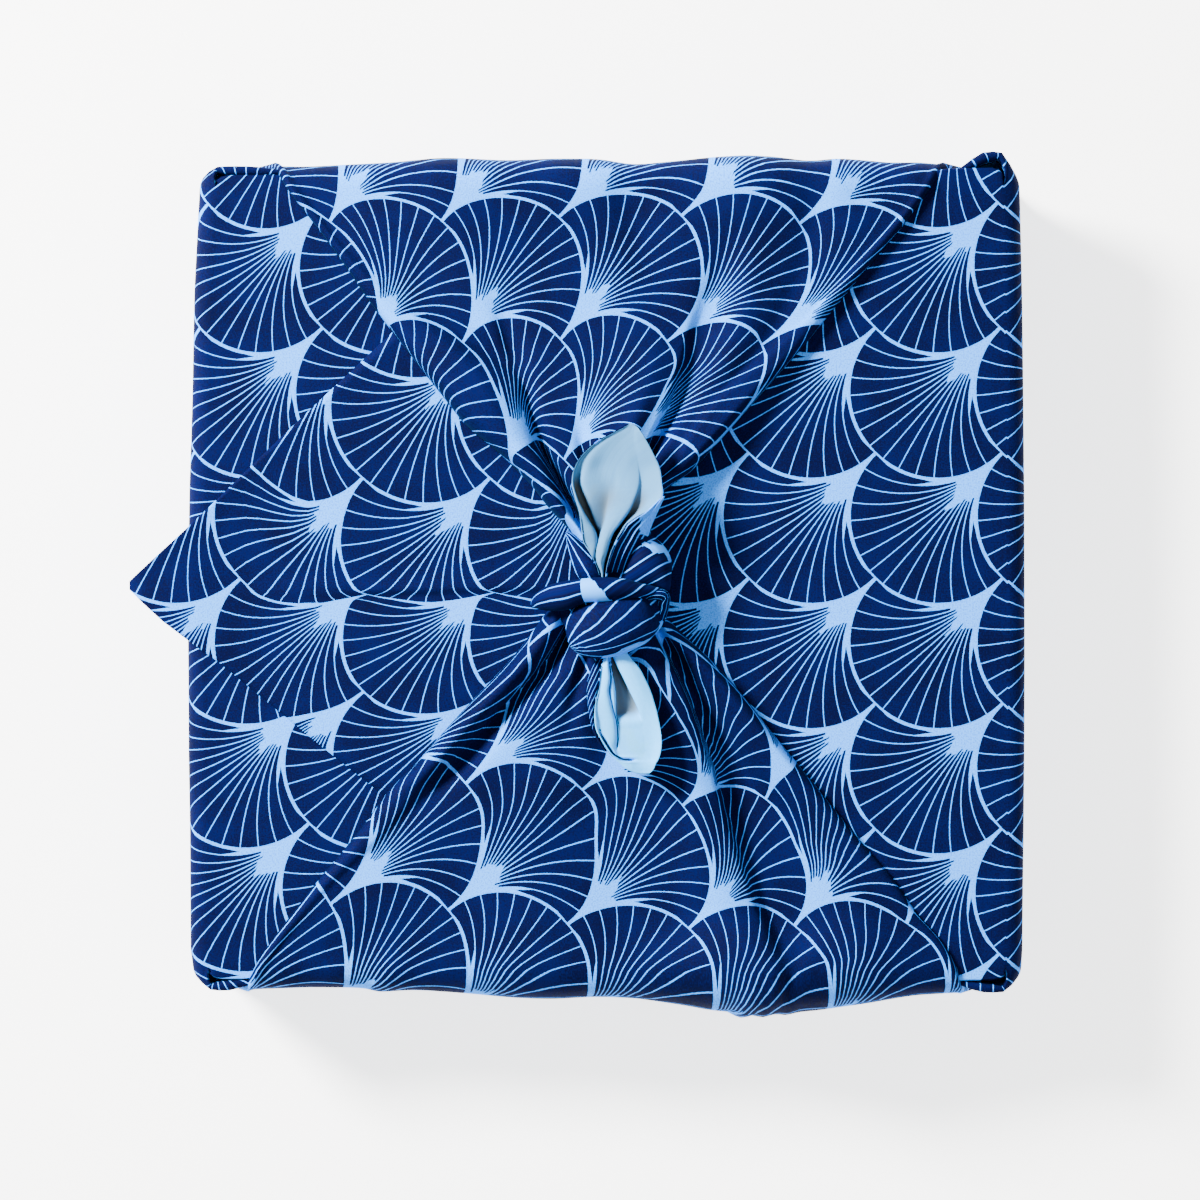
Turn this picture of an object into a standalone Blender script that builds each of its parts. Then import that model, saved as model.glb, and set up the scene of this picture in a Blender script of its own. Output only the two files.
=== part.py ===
"""A furoshiki: one square of cloth folded and knotted over a flat gift box.

The square was laid cornerwise under the box. Its left corner came over first. Its right corner
came over that, and its tip hangs past the left side. The far and near corners came up last, over
the pleats that the cloth makes round the upright corners, and were gathered and tied on top.

The cloth is one sheet and one solid. Its layers lie a little apart, and run into each other at
the foot and in the knot. Sizes are in millimetres, and meshes in metres. The origin is the
middle of the underside, +X is to the right and +Y is away.
"""

import math

import bmesh
import bpy
from mathutils import Vector

MM = 0.001

# Driving sizes
HALF_WIDTH = 142.5  # left to right, outside the cloth
HALF_DEPTH = 138.5  # near to far, inside the tied corners
HEIGHT = 49.0  # top of the first corner, which lies on the box
EDGE_RADIUS = 6.0  # cloth turning over an edge of the box
CORNER_RADIUS = 8.0  # upright corners
SHEET = 1.6  # thickness of the cloth
LAYER = 1.9  # from one layer up to the next: the cloth and a little air

BOX_SIZE = (273.6, 263.6, 44.3)
BOX_FLOOR = 1.9  # the box stands on the cloth
BOX_BEVEL = 3.5

CLOTH = dict(color=(0.012, 0.045, 0.21, 1.0), roughness=0.85, metallic=0.0)
CARD = dict(color=(0.55, 0.42, 0.28, 1.0), roughness=0.9, metallic=0.0)


# ---------------------------------------------------------------- curves and lofts
def smooth(value, start, end):
    """0 before start, 1 after end, and an even S between them."""
    share = min(1.0, max(0.0, (value - start) / (end - start)))
    return share * share * (3 - 2 * share)


def curve_point(points, t):
    """A smooth curve through the points: t runs from 0 at the first to 1 at the last."""
    spans = len(points) - 1
    i = min(int(t * spans), spans - 1)
    f = t * spans - i
    p1, p2 = points[i], points[i + 1]
    p0 = points[i - 1] if i else p1
    p3 = points[i + 2] if i + 2 <= spans else p2
    return tuple(
        0.5 * (2 * b + (c - a) * f + (2 * a - 5 * b + 4 * c - d) * f**2 + (3 * b - a - 3 * c + d) * f**3)
        for a, b, c, d in zip(p0, p1, p2, p3)
    )


def curve(points, count):
    return [curve_point(points, i / (count - 1)) for i in range(count)]


def look_up(table, run):
    """The row of a table at a run along the cloth, read between the rows on each side."""
    if run <= table[0][0]:
        return table[0][1:]
    for low, high in zip(table, table[1:]):
        if run <= high[0]:
            share = smooth(run, low[0], high[0]) * 0.5 + 0.5 * (run - low[0]) / (high[0] - low[0])
            return tuple(a + (b - a) * share for a, b in zip(low[1:], high[1:]))
    return table[-1][1:]


def loft(name, rings, closed=True):
    """A surface through rings of the same number of points, in millimetres."""
    bm = bmesh.new()
    rows = [[bm.verts.new(Vector(p) * MM) for p in ring] for ring in rings]
    size = len(rings[0])
    for low, high in zip(rows, rows[1:]):
        for i in range(size):
            j = (i + 1) % size
            bm.faces.new((low[i], low[j], high[j], high[i]))
    bm.faces.new(rows[0][::-1])
    if closed:
        bm.faces.new(rows[-1])
    bmesh.ops.remove_doubles(bm, verts=bm.verts, dist=0.00001)
    bmesh.ops.triangulate(bm, faces=bm.faces)
    bmesh.ops.recalc_face_normals(bm, faces=bm.faces)
    mesh = bpy.data.meshes.new(name)
    bm.to_mesh(mesh)
    bm.free()
    return bpy.data.objects.new(name, mesh)


# ---------------------------------------------------------------- under the box and up its sides
LEVELS = (
    # left and right sides     far and near sides
    # (height, inset,          height, inset)
    (0.0, 4.2, 0.0, 4.2),
    (0.8, 1.9, 0.8, 1.9),
    (3.4, 0.4, 3.4, 0.6),
    (12.0, 0.0, 12.0, 0.9),
    (24.0, -0.5, 24.0, 2.1),
    (37.0, -0.3, 35.0, 2.3),
    (43.0, 0.0, 41.0, 2.2),
    (46.6, 1.3, 44.0, 2.2),
    (48.4, 3.6, 45.6, 2.3),
    (49.0, 6.6, 46.6, 2.4),
    (49.0, 12.0, 47.2, 2.6),
)
BOW_LEFT, BOW_RIGHT = 2.2, 0.8  # how far the sides draw in towards their far and near ends
ALONG_SIDE = (0.0, 0.25, 0.5, 0.75)  # shares of a straight side with a point
ALONG_END = (0.0, 0.025, 0.05, 0.075, 0.11, 0.16, 0.3, 0.5, 0.7, 0.84, 0.89, 0.925, 0.95, 0.975)
CORNER_STEPS = 4

# The pleat that turns round an upright corner stands off at its top and leaves a pocket.
# (side of the box, middle x, half width, how far it stands off)
POCKETS = (
    (1, -125.0, 15.0, 3.6),
    (1, 130.0, 14.0, 7.2),
    (-1, -130.0, 14.0, 3.2),
    (-1, 128.0, 17.0, 5.6),
)


def outline():
    """The folded cloth from above, as (x, y, share that belongs to a left or right side)."""
    inner_x, inner_y = HALF_WIDTH - CORNER_RADIUS, HALF_DEPTH - CORNER_RADIUS
    corners = ((inner_x, inner_y), (-inner_x, inner_y), (-inner_x, -inner_y), (inner_x, -inner_y))
    points = []
    for turn, (cx, cy) in enumerate(corners):
        for step in range(CORNER_STEPS):
            share = step / CORNER_STEPS
            angle = math.pi / 2 * (turn + share)
            belongs = 1 - share if turn % 2 == 0 else share
            points.append(
                (cx + CORNER_RADIUS * math.cos(angle), cy + CORNER_RADIUS * math.sin(angle), belongs)
            )
        angle = math.pi / 2 * (turn + 1)
        x, y = cx + CORNER_RADIUS * math.cos(angle), cy + CORNER_RADIUS * math.sin(angle)
        if turn % 2 == 0:
            points += [(x * (1 - 2 * share), y, 0.0) for share in ALONG_END]
        else:
            points += [(x, y * (1 - 2 * share), 1.0) for share in ALONG_SIDE]
    return points


def stands_off(x, y, z):
    """How far the pleat at a corner stands off the box."""
    off = 0.0
    for side, middle, half, out in POCKETS:
        if side * y > 0:
            off += out * math.exp(-(((x - middle) / half) ** 4)) * smooth(z, 16.0, 46.0)
    return off


def tray():
    """The cloth under the box and up its four sides, open at the top."""
    rings = []
    for side_z, side_inset, end_z, end_inset in LEVELS:
        ring = []
        for x, y, share in outline():
            lift = LAYER * smooth(side_z, 24.0, 49.0) * share if x > 0 else 0.0
            z = end_z + (side_z - end_z) * share + lift
            bow = (BOW_LEFT if x < 0 else BOW_RIGHT) * abs(x / HALF_WIDTH) ** 3 * (y / HALF_DEPTH) ** 2
            inset_x = side_inset * share + 1.2 * (1 - share) + bow
            inset_y = end_inset + (min(side_inset, end_inset) - end_inset) * share
            px = math.copysign(abs(x) * (1 - inset_x / HALF_WIDTH), x)
            py = math.copysign(abs(y) * (1 - inset_y / HALF_DEPTH), y)
            py += math.copysign(stands_off(x, y, z) * (1 - share), y)
            ring.append((px, py, z))
        rings.append(ring)
    obj = loft("wrap_cloth", rings, closed=False)
    wall = obj.modifiers.new("sheet", "SOLIDIFY")
    wall.thickness = SHEET * MM
    wall.offset = -1.0
    return obj


# Each pleat ends under a tied corner, on a slant from the foot of the box: (height, half width)
BETWEEN_PLEATS = ((6.0, 124.0), (56.0, 58.0))


def between_pleats():
    """What lies between the pleats on the far and near sides, where only a tied corner covers."""
    reach = HALF_DEPTH + 20.0
    rings = []
    for z, half in BETWEEN_PLEATS:
        rings.append([(-half, -reach, z), (half, -reach, z), (half, reach, z), (-half, reach, z)])
    return loft("between_pleats", rings)


# ---------------------------------------------------------------- the corners folded over the top
FIRST_CORNER = (  # from the left side to its hidden tip
    # (x, lower edge y, upper edge y, height above the first layer)
    (-137.0, -135.5, 135.5, -0.3),
    (-120.0, -136.0, 136.0, -0.3),
    (-60.0, -136.5, 136.5, -0.3),
    (20.0, -136.0, 136.0, -0.3),
    (28.0, -129.0, 129.0, -0.3),
    (60.0, -100.0, 100.0, -0.3),
    (100.0, -60.0, 60.0, -0.3),
    (134.0, -24.0, 24.0, -0.3),
)
OVER_CORNER = (  # from the tip, hanging past the left side, to the right side
    (-162.5, -2.6, -0.9, -0.6),
    (-157.0, -7.6, 3.6, 0.9),
    (-150.0, -14.2, 10.2, 2.3),
    (-142.0, -21.2, 17.4, 2.9),
    (-132.0, -29.6, 26.8, 2.4),
    (-118.0, -40.8, 40.6, 1.9),
    (-96.0, -58.4, 61.6, 1.9),
    (-72.0, -77.4, 84.2, 1.9),
    (-40.0, -102.8, 114.6, 1.9),
    (-14.0, -123.6, 136.0, 1.9),
    (4.0, -136.0, 136.4, 1.9),
    (60.0, -136.4, 136.6, 1.9),
    (110.0, -136.4, 136.6, 1.8),
    (138.0, -134.0, 134.0, 1.6),
)
CORNER_ACROSS = (0.0, 0.015, 0.04, 0.2, 0.4, 0.6, 0.8, 0.96, 0.985, 1.0)
RIM_DROP = 3.0  # the cloth turns down at the far and near edges of the box


def folded_corner(name, table):
    rings = []
    for x, low, high, lift in table:
        top = []
        for share in CORNER_ACROSS:
            y = low + (high - low) * share
            top.append((x, y, HEIGHT + lift - RIM_DROP * smooth(abs(y), 129.0, 138.0)))
        rings.append(top + [(px, py, pz - SHEET) for px, py, pz in reversed(top)])
    return loft(name, rings)


# ---------------------------------------------------------------- the tied corners
# run is the way along the cloth from the foot of the box, up the side and over the top.
# The edges are folded edges, and each fold runs from the side of the box into the knot.
FAR_EDGES = (
    # (run, left edge x, right edge x, height off the box, thickness)
    (2, -137.0, 137.0, -0.3, 1.5),
    (12, -131.5, 132.5, 0.9, 1.5),
    (24, -125.0, 127.0, 2.0, 1.6),
    (43, -115.5, 116.5, 2.6, 1.6),
    (54, -108.0, 109.0, 4.6, 1.6),
    (75, -90.8, 93.0, 4.9, 1.6),
    (94.5, -78.5, 77.0, 5.4, 1.6),
    (106, -69.4, 67.4, 6.0, 1.6),
    (117, -62.2, 57.4, 7.0, 1.7),
    (126, -53.6, 49.0, 8.2, 1.9),
    (141, -39.0, 35.8, 10.6, 2.6),
    (151, -29.0, 22.8, 12.6, 3.6),
    (160, -19.6, 17.4, 13.8, 5.0),
    (171, -12.6, 15.0, 14.8, 7.0),
    (182, -10.4, 13.4, 15.0, 8.0),
)
FAR_FOLDS = {
    # name: (run, x, half width, height), ...
    "left_roll": ((50, -103, 6, 0.3), (94, -73, 6, 2.2), (126, -48, 5, 4.4), (150, -25, 3.6, 3.0), (172, -10, 2, 0)),
    "left_gap": ((80, -76, 6, 0), (106, -56, 5, -0.8), (135, -28, 4, -3.6), (160, -12, 2.4, -3.0), (174, -7, 2, 0)),
    "left_valley": ((60, -44, 12, 0), (106, -28, 6, -1.4), (135, -18, 3.6, -2.6), (159, -8, 2, -2.4), (174, -4, 2, 0)),
    "left_swell": ((8, -34, 34, 0), (30, -36, 34, 1.3), (60, -34, 30, 1.0), (100, -30, 14, 0)),
    "middle_ridge": ((70, 0, 18, 0), (106, -4, 11, 1.8), (135, -3, 6, 3.4), (160, -1, 3, 2.4), (174, 0, 3, 0)),
    "middle_dip": ((8, 14, 14, 0), (30, 14, 14, -0.8), (56, 12, 14, -0.6), (80, 10, 10, 0)),
    "right_swell": ((8, 56, 22, 0), (30, 56, 22, 1.6), (60, 54, 20, 1.8), (92, 52, 11, 2.0), (135, 26, 5, 2.6), (165, 9, 3, 0)),
    "right_valley": ((50, 48, 10, 0), (91, 36, 6, -2.2), (108, 28, 5, -3.6), (135, 16, 3.6, -5.2), (160, 6, 2, -3.6), (172, 4, 2, 0)),
    "right_roll": ((50, 102, 6, 0.3), (94, 71, 6, 1.8), (126, 44, 4.6, 3.0), (148, 23, 3, 2.0), (168, 12, 2, 0)),
}
NEAR_EDGES = (
    (2, -137.0, 137.0, -0.3, 1.5),
    (12, -133.0, 132.5, 0.6, 1.5),
    (24, -130.0, 129.0, 1.4, 1.6),
    (43, -124.4, 122.6, 2.2, 1.6),
    (54, -118.6, 118.0, 4.5, 1.6),
    (70, -107.0, 105.0, 4.8, 1.6),
    (84, -96.2, 95.3, 5.0, 1.6),
    (100, -83.8, 82.4, 5.4, 1.6),
    (113, -74.4, 71.6, 6.2, 1.6),
    (122, -66.0, 64.8, 7.2, 1.8),
    (140, -49.6, 48.6, 9.8, 2.2),
    (149, -39.4, 41.4, 11.2, 3.0),
    (158, -29.6, 32.0, 12.6, 4.4),
    (168, -19.8, 20.4, 13.6, 6.0),
    (178, -15.0, 15.0, 13.8, 7.0),
)
NEAR_FOLDS = {
    "left_roll": ((60, -110, 6, 0.3), (100, -77, 6, 1.8), (126, -57, 5, 3.4), (152, -31, 3.8, 3.2), (172, -14, 2, 0)),
    "left_gap": ((84, -82, 6, 0), (110, -62, 5, -1.0), (135, -42, 4, -3.6), (158, -20, 2.6, -3.4), (174, -10, 2, 0)),
    "left_swell": ((8, -26, 34, 0), (26, -28, 34, 2.8), (56, -26, 30, 1.6), (90, -24, 16, 0.6), (140, -14, 8, 2.0), (170, -6, 4, 0)),
    "main_ridge": ((6, 54, 26, 0), (26, 54, 26, 7.6), (46, 54, 22, 5.6), (60, 52, 13, 3.0), (94, 38, 9, 2.8), (134, 25, 6, 4.6), (160, 13, 3, 1.6), (172, 8, 3, 0)),
    "main_drop": ((48, 72, 8, 0), (66, 58, 6, -1.6), (94, 49, 5, -2.8), (134, 36, 4, -5.0), (160, 21, 2.4, -3.6), (172, 12, 2, 0)),
    "right_swell": ((8, 98, 16, 0), (30, 98, 16, 1.6), (50, 94, 14, 0.8), (80, 78, 8, 0.8), (120, 54, 4, 1.6), (150, 34, 3, 2.6), (168, 18, 2, 0)),
    "middle_dip": ((8, 8, 16, 0), (30, 8, 16, -0.6), (56, 10, 14, -0.4), (80, 8, 10, 0)),
}
STATIONS, FLAP_ACROSS = 22, 27


def over_edge(run, height):
    """Where the cloth is in the upright plane across a side: (distance out, height)."""
    upright = HEIGHT - EDGE_RADIUS
    arc = EDGE_RADIUS * math.pi / 2
    if run <= upright:
        return HALF_DEPTH + height, run
    if run >= upright + arc:
        return HALF_DEPTH - EDGE_RADIUS - (run - upright - arc), HEIGHT + height
    angle = (run - upright) / EDGE_RADIUS
    reach = EDGE_RADIUS + height
    return HALF_DEPTH - EDGE_RADIUS + reach * math.cos(angle), upright + reach * math.sin(angle)


def lowest(run):
    """How low a tied corner may lie: just off the pleats, and just off the corner on top."""
    return -1.3 + (LAYER + 0.4 + 1.3) * smooth(run, 38.0, 53.0)


def fold_height(folds, run, x):
    total = 0.0
    for table in folds.values():
        if table[0][0] < run < table[-1][0]:
            middle, half, height = look_up(table, run)
            total += height * math.exp(-(((x - middle) / half) ** 2))
    return total


def tied_corner(name, edges, folds, side):
    """side is 1 for the far corner and -1 for the near one."""
    rings = []
    first, last = edges[0][0], edges[-1][0]
    for station in range(STATIONS):
        run = first + (last - first) * station / (STATIONS - 1)
        left, right, lift, thick = look_up(edges, run)
        low = lowest(run)
        roll = max(2.0, 0.7 * (lift - low))
        outer, inner = [], []
        for i in range(FLAP_ACROSS):
            x = (left + right) / 2 - (right - left) / 2 * math.cos(math.pi * (i + 1.5) / (FLAP_ACROSS + 2))
            if i == 0 or i == FLAP_ACROSS - 1:
                x = left if i == 0 else right
            from_edge = min(x - left, right - x) / roll
            turned = math.sqrt(1 - (1 - min(1.0, from_edge)) ** 2)
            height = max(lift + fold_height(folds, run, x), low + thick)
            height = low + 0.6 + (height - low - 0.6) * turned
            outer.append((x, *over_edge(run, height)))
            if i % 2 == 0:
                inner.append((x, *over_edge(run, max(low, height - thick))))
        rings.append([(x, side * out, z) for x, out, z in outer + inner[::-1]])
    return loft(name, rings)


# ---------------------------------------------------------------- the knot
# (x, y, height above the first layer, half width across, half thickness)
BANDS = {
    "knot_core": (
        (-16, -11, 11, 8, 5.5),
        (-8, -10, 13, 14, 8.5),
        (2, -10, 13, 15, 9.5),
        (11, -9, 13, 13, 8.5),
        (17, -9, 11, 8, 5.5),
    ),
    "knot_upper_band": (
        (-25, -10, 8, 2.6, 3.2),
        (-20, -8.6, 14, 4.4, 4.0),
        (-8, -5.4, 20, 3.8, 4.2),
        (5, -3.2, 22, 3.6, 4.2),
        (15, -3.8, 18, 3.6, 4.0),
        (20, -6, 11, 3.4, 3.6),
    ),
    "knot_lower_band": (
        (-14, -20, 7.6, 7.0, 3.4),
        (-12.5, -19, 14, 8.6, 4.4),
        (-4, -17.6, 19.4, 9.6, 4.8),
        (6, -16.8, 19.4, 9.6, 4.8),
        (13.5, -15, 15, 8.8, 4.4),
        (16.5, -14, 8.2, 7.0, 3.6),
    ),
    "knot_side_lobe": (
        (2, 2, 12, 4.0, 4.0),
        (10, 4.6, 15, 5.6, 4.4),
        (17.5, 4.6, 13.5, 5.6, 4.0),
        (21.5, 1.5, 8.6, 3.8, 3.0),
    ),
}
BAND_STEPS, BAND_SIDES = 10, 10


def band(name, table):
    """A bundle of cloth round the knot. Its section is upright and lies along the near-far way."""
    rows = curve(table, BAND_STEPS)
    rings = []
    for i, (x, y, lift, wide, thick) in enumerate(rows):
        before, after = rows[max(i - 1, 0)], rows[min(i + 1, len(rows) - 1)]
        slope = math.atan2(after[2] - before[2], after[0] - before[0])
        ring = []
        for k in range(BAND_SIDES):
            angle = 2 * math.pi * k / BAND_SIDES
            across, out = wide * math.cos(angle), thick * math.sin(angle)
            ring.append((x - out * math.sin(slope), y + across, HEIGHT + lift + out * math.cos(slope)))
        rings.append(ring)
    return loft(name, rings)


# ---------------------------------------------------------------- the tails
# (y, left edge x, right edge x, height above the first layer, how far the edges stand up)
FAR_TAIL = (
    (-9, -4, 6, 16.0, 1.0),
    (0, -6, 5, 19.0, 4.0),
    (10, -10, 11.5, 20.6, 5.6),
    (20, -11.8, 17, 21.2, 6.4),
    (30, -11.2, 18.8, 20.8, 6.0),
    (40, -5.6, 16.8, 19.8, 4.2),
    (47, 1.6, 12.8, 19.2, 2.4),
    (51.5, 7.0, 10.0, 19.0, 0.6),
)
NEAR_TAIL = (
    (-19, -3, 4, 15.0, 1.0),
    (-28, -2.4, 5.4, 16.6, 2.8),
    (-35, -4.8, 11, 18.2, 4.4),
    (-42, -6.2, 14.6, 18.8, 5.2),
    (-50, -6.0, 17.4, 18.0, 5.2),
    (-57, -3.4, 18.6, 17.2, 4.6),
    (-63, 2.6, 17.4, 16.6, 3.2),
    (-66.8, 10.6, 14.6, 16.2, 1.0),
)
TAIL_STEPS, TAIL_ACROSS = 12, 7


def tail(name, table):
    """A cupped leaf of free cloth: its middle lies low and its edges stand up."""
    rings = []
    for y, left, right, lift, cup in curve(table, TAIL_STEPS):
        top = []
        for i in range(TAIL_ACROSS):
            across = 2 * i / (TAIL_ACROSS - 1) - 1
            x = (left + right) / 2 + across * (right - left) / 2
            top.append((x, y, HEIGHT + lift + cup * across**2))
        rings.append(top + [(x, y, z - SHEET) for x, y, z in reversed(top)])
    return loft(name, rings)


# ---------------------------------------------------------------- the pieces
def material(name, color, roughness, metallic):
    made = bpy.data.materials.new(name)
    made.use_nodes = True
    shader = made.node_tree.nodes["Principled BSDF"]
    shader.inputs["Base Color"].default_value = color
    shader.inputs["Roughness"].default_value = roughness
    shader.inputs["Metallic"].default_value = metallic
    return made


def boolean(obj, piece, operation):
    change = obj.modifiers.new(f"{operation.lower()}_{piece.name}", "BOOLEAN")
    change.operation = operation
    change.solver = "EXACT"
    change.object = piece


def gift_box():
    """A plain lidded card box, which gives the parcel its shape."""
    bpy.ops.mesh.primitive_cube_add(size=1.0, location=(0, 0, (BOX_FLOOR + BOX_SIZE[2] / 2) * MM))
    box = bpy.context.object
    box.name = "gift_box"
    box.scale = [size * MM for size in BOX_SIZE]
    bpy.ops.object.transform_apply(location=False, rotation=False, scale=True)
    bevel = box.modifiers.new("edges", "BEVEL")
    bevel.width = BOX_BEVEL * MM
    bevel.segments = 3
    box.data.materials.append(material("plain_card", **CARD))
    return box


def main():
    for obj in list(bpy.data.objects):
        bpy.data.objects.remove(obj, do_unlink=True)
    shown = bpy.data.collections.new("furoshiki_wrap")
    folds = bpy.data.collections.new("folds")
    for collection in (shown, folds):
        bpy.context.scene.collection.children.link(collection)

    box = gift_box()
    for collection in list(box.users_collection):
        collection.objects.unlink(box)
    shown.objects.link(box)

    cloth = tray()
    cloth.data.materials.append(material("printed_cloth", **CLOTH))
    shown.objects.link(cloth)
    steps = [
        (between_pleats(), "DIFFERENCE"),
        (folded_corner("first_corner", FIRST_CORNER), "UNION"),
        (folded_corner("over_corner", OVER_CORNER), "UNION"),
        (tied_corner("far_corner", FAR_EDGES, FAR_FOLDS, 1), "UNION"),
        (tied_corner("near_corner", NEAR_EDGES, NEAR_FOLDS, -1), "UNION"),
        *((band(name, table), "UNION") for name, table in BANDS.items()),
        (tail("far_tail", FAR_TAIL), "UNION"),
        (tail("near_tail", NEAR_TAIL), "UNION"),
    ]
    for piece, operation in steps:
        piece.hide_render = True
        piece.display_type = "WIRE"
        folds.objects.link(piece)
        boolean(cloth, piece, operation)


main()
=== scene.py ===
# %% [markdown]
# # A furoshiki tied over a flat box
# A furoshiki is one square of cloth. Here it is folded over a flat gift box: the left corner first,
# then the right corner with its tip hanging past the side, then the far and near corners, which
# are gathered and tied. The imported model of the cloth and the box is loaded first. It gives every
# piece its place, and the finer cloth made below lies on the same folds.

# %% Load the frame
import math

import bmesh
import bpy
import numpy as np
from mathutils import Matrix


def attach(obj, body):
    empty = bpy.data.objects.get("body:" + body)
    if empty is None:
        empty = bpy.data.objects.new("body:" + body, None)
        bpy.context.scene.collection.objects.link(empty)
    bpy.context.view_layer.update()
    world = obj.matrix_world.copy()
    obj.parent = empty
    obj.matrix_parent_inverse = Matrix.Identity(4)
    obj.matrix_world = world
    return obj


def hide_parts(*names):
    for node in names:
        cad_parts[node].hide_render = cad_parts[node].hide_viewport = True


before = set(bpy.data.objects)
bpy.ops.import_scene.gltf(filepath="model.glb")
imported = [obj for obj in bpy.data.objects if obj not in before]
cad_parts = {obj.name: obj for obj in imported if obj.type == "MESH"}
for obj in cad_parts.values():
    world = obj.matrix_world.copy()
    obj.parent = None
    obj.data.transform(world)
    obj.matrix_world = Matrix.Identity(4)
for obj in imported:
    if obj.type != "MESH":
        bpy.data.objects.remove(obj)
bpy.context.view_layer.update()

MM = 0.001

# %% [markdown]
# ## Camera, floor and light
# The parcel is seen from straight above, and the picture's top is the far side. A long lens at a
# good distance keeps the sides of the parcel from leaning. The light is a large soft lamp from the
# upper left with a weaker one opposite, so each fold has a light side and a darker side.


# %% Camera
PICTURE_WIDTH = 408.0  # mm across the frame at the height of the parcel's top
TOP = 49.0  # height of the cloth that lies on the box, in mm
EYE_XY, EYE_HEIGHT = (-2.4, -7.8), 1500.0  # where the camera hangs, in mm
SENSOR_WIDTH = 36.0  # mm

lens = bpy.data.cameras.new("camera")
lens.sensor_width = SENSOR_WIDTH
lens.lens = SENSOR_WIDTH * (EYE_HEIGHT - TOP) / PICTURE_WIDTH
lens.clip_start = 0.05
lens.clip_end = 20.0
camera = bpy.data.objects.new("camera", lens)
camera.location = (EYE_XY[0] * MM, EYE_XY[1] * MM, EYE_HEIGHT * MM)
bpy.context.collection.objects.link(camera)
bpy.context.scene.camera = camera
print("lens", round(lens.lens, 1), "mm")


# %% Floor and lamps
# Lamps: (name, place in m, width in m, power in W, colour)
LAMPS = (
    ("key_lamp", (-1.25, 0.85, 1.05), 0.5, 240.0, (1.0, 0.98, 0.95)),
    ("fill_lamp", (1.0, -0.5, 1.8), 1.6, 22.0, (0.92, 0.97, 1.0)),
)
DAYLIGHT = {"Color": (0.95, 0.98, 1.0, 1.0), "Strength": 0.6}
PAPER = {
    "Base Color": (0.95, 0.95, 0.95, 1.0),
    "Roughness": 0.9,
    "Emission Color": (1.0, 1.0, 1.0, 1.0),
    "Emission Strength": 2.6,
}


def lamp(name, place, size, power, tint):
    """A round soft lamp that points at the middle of the floor."""
    data = bpy.data.lights.new(name, "AREA")
    data.shape = "DISK"
    data.size = size
    data.energy = power
    data.color = tint
    obj = bpy.data.objects.new(name, data)
    obj.location = place
    aim = np.array(place) / -np.linalg.norm(place)
    obj.rotation_euler = (math.acos(-aim[2]), 0.0, math.atan2(aim[1], aim[0]) - math.pi / 2)
    bpy.context.collection.objects.link(obj)


def set_sockets(node, values):
    for socket, value in values.items():
        node.inputs[socket].default_value = value


for given in LAMPS:
    lamp(*given)

world = bpy.data.worlds.new("studio")
world.use_nodes = True
set_sockets(world.node_tree.nodes["Background"], DAYLIGHT)
bpy.context.scene.world = world

bpy.ops.object.select_all(action="DESELECT")
bpy.ops.mesh.primitive_plane_add(size=6.0)
floor = bpy.context.object
floor.name = "floor"
paper = bpy.data.materials.new("white_paper")
paper.use_nodes = True
set_sockets(paper.node_tree.nodes["Principled BSDF"], PAPER)
floor.data.materials.append(paper)
print("lamps:", ", ".join(given[0] for given in LAMPS), "over a floor of white paper")


# %% [markdown]
# ## The shape of the folded cloth
# The cloth is made by rule and not by a simulation, because its folds have to lie in known places:
# a gathered corner is a grid whose edges and folds follow a few short tables. Every point of a
# grid also knows its place on the flat square, in metres. That is its UV, so the print runs over
# the folds just as it does on the real cloth.


# %% Sizes and curves
HALF_FLAT = 142.0  # where the flat cloth turns up, from its middle
WALL_FLAT = 48.0  # cloth used by a side of the parcel
HALF_WIDTH, HALF_DEPTH = 142.5, 138.5  # of the parcel, to its sides
EDGE_RADIUS, FOOT_RADIUS = 6.0, 4.0  # of the cloth's bends over the box's top edge and at its foot
FIRST_TOP, OVER_TOP = 48.7, 49.5  # outer faces of the two corners that lie on the box


def ramp(value, start, end):
    """0 at the start and 1 at the end, with a soft turn at both."""
    share = np.clip((np.asarray(value, float) - start) / (end - start), 0.0, 1.0)
    return share * share * (3 - 2 * share)


def read(table, run):
    """Columns of a table at a run along the cloth, on smooth curves through its rows."""
    rows = np.array(table, float)
    at, values = rows[:, 0], rows[:, 1:]
    run = np.atleast_1d(np.clip(run, at[0], at[-1]))
    i = np.clip(np.searchsorted(at, run, "right") - 1, 0, len(at) - 2)
    step = at[i + 1] - at[i]
    f = ((run - at[i]) / step)[:, None]
    slope = np.gradient(values, at, axis=0)
    a, b = values[i], values[i + 1]
    m0, m1 = slope[i] * step[:, None], slope[i + 1] * step[:, None]
    out = (
        (2 * f**3 - 3 * f**2 + 1) * a
        + (f**3 - 2 * f**2 + f) * m0
        + (3 * f**2 - 2 * f**3) * b
        + (f**3 - f**2) * m1
    )
    return out.T


def ripple(x, y, size, seed):
    """Slow uneven waves, about -1 to 1, so that no panel is quite flat."""
    total = 0.0
    for n in range(4):
        angle = 2.4 * n + seed
        pitch = size * (0.7 + 0.37 * n)
        way = x * math.cos(angle) + y * math.sin(angle)
        total = total + np.sin(way * 2 * math.pi / pitch + 1.7 * seed * (n + 1))
    return total / 3.0


def blur(values, half, **padding):
    """Mean of each value and its neighbours, half a window to either side."""
    size = 2 * half + 1
    return np.convolve(np.pad(values, half, **padding), np.ones(size) / size, "valid")


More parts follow.
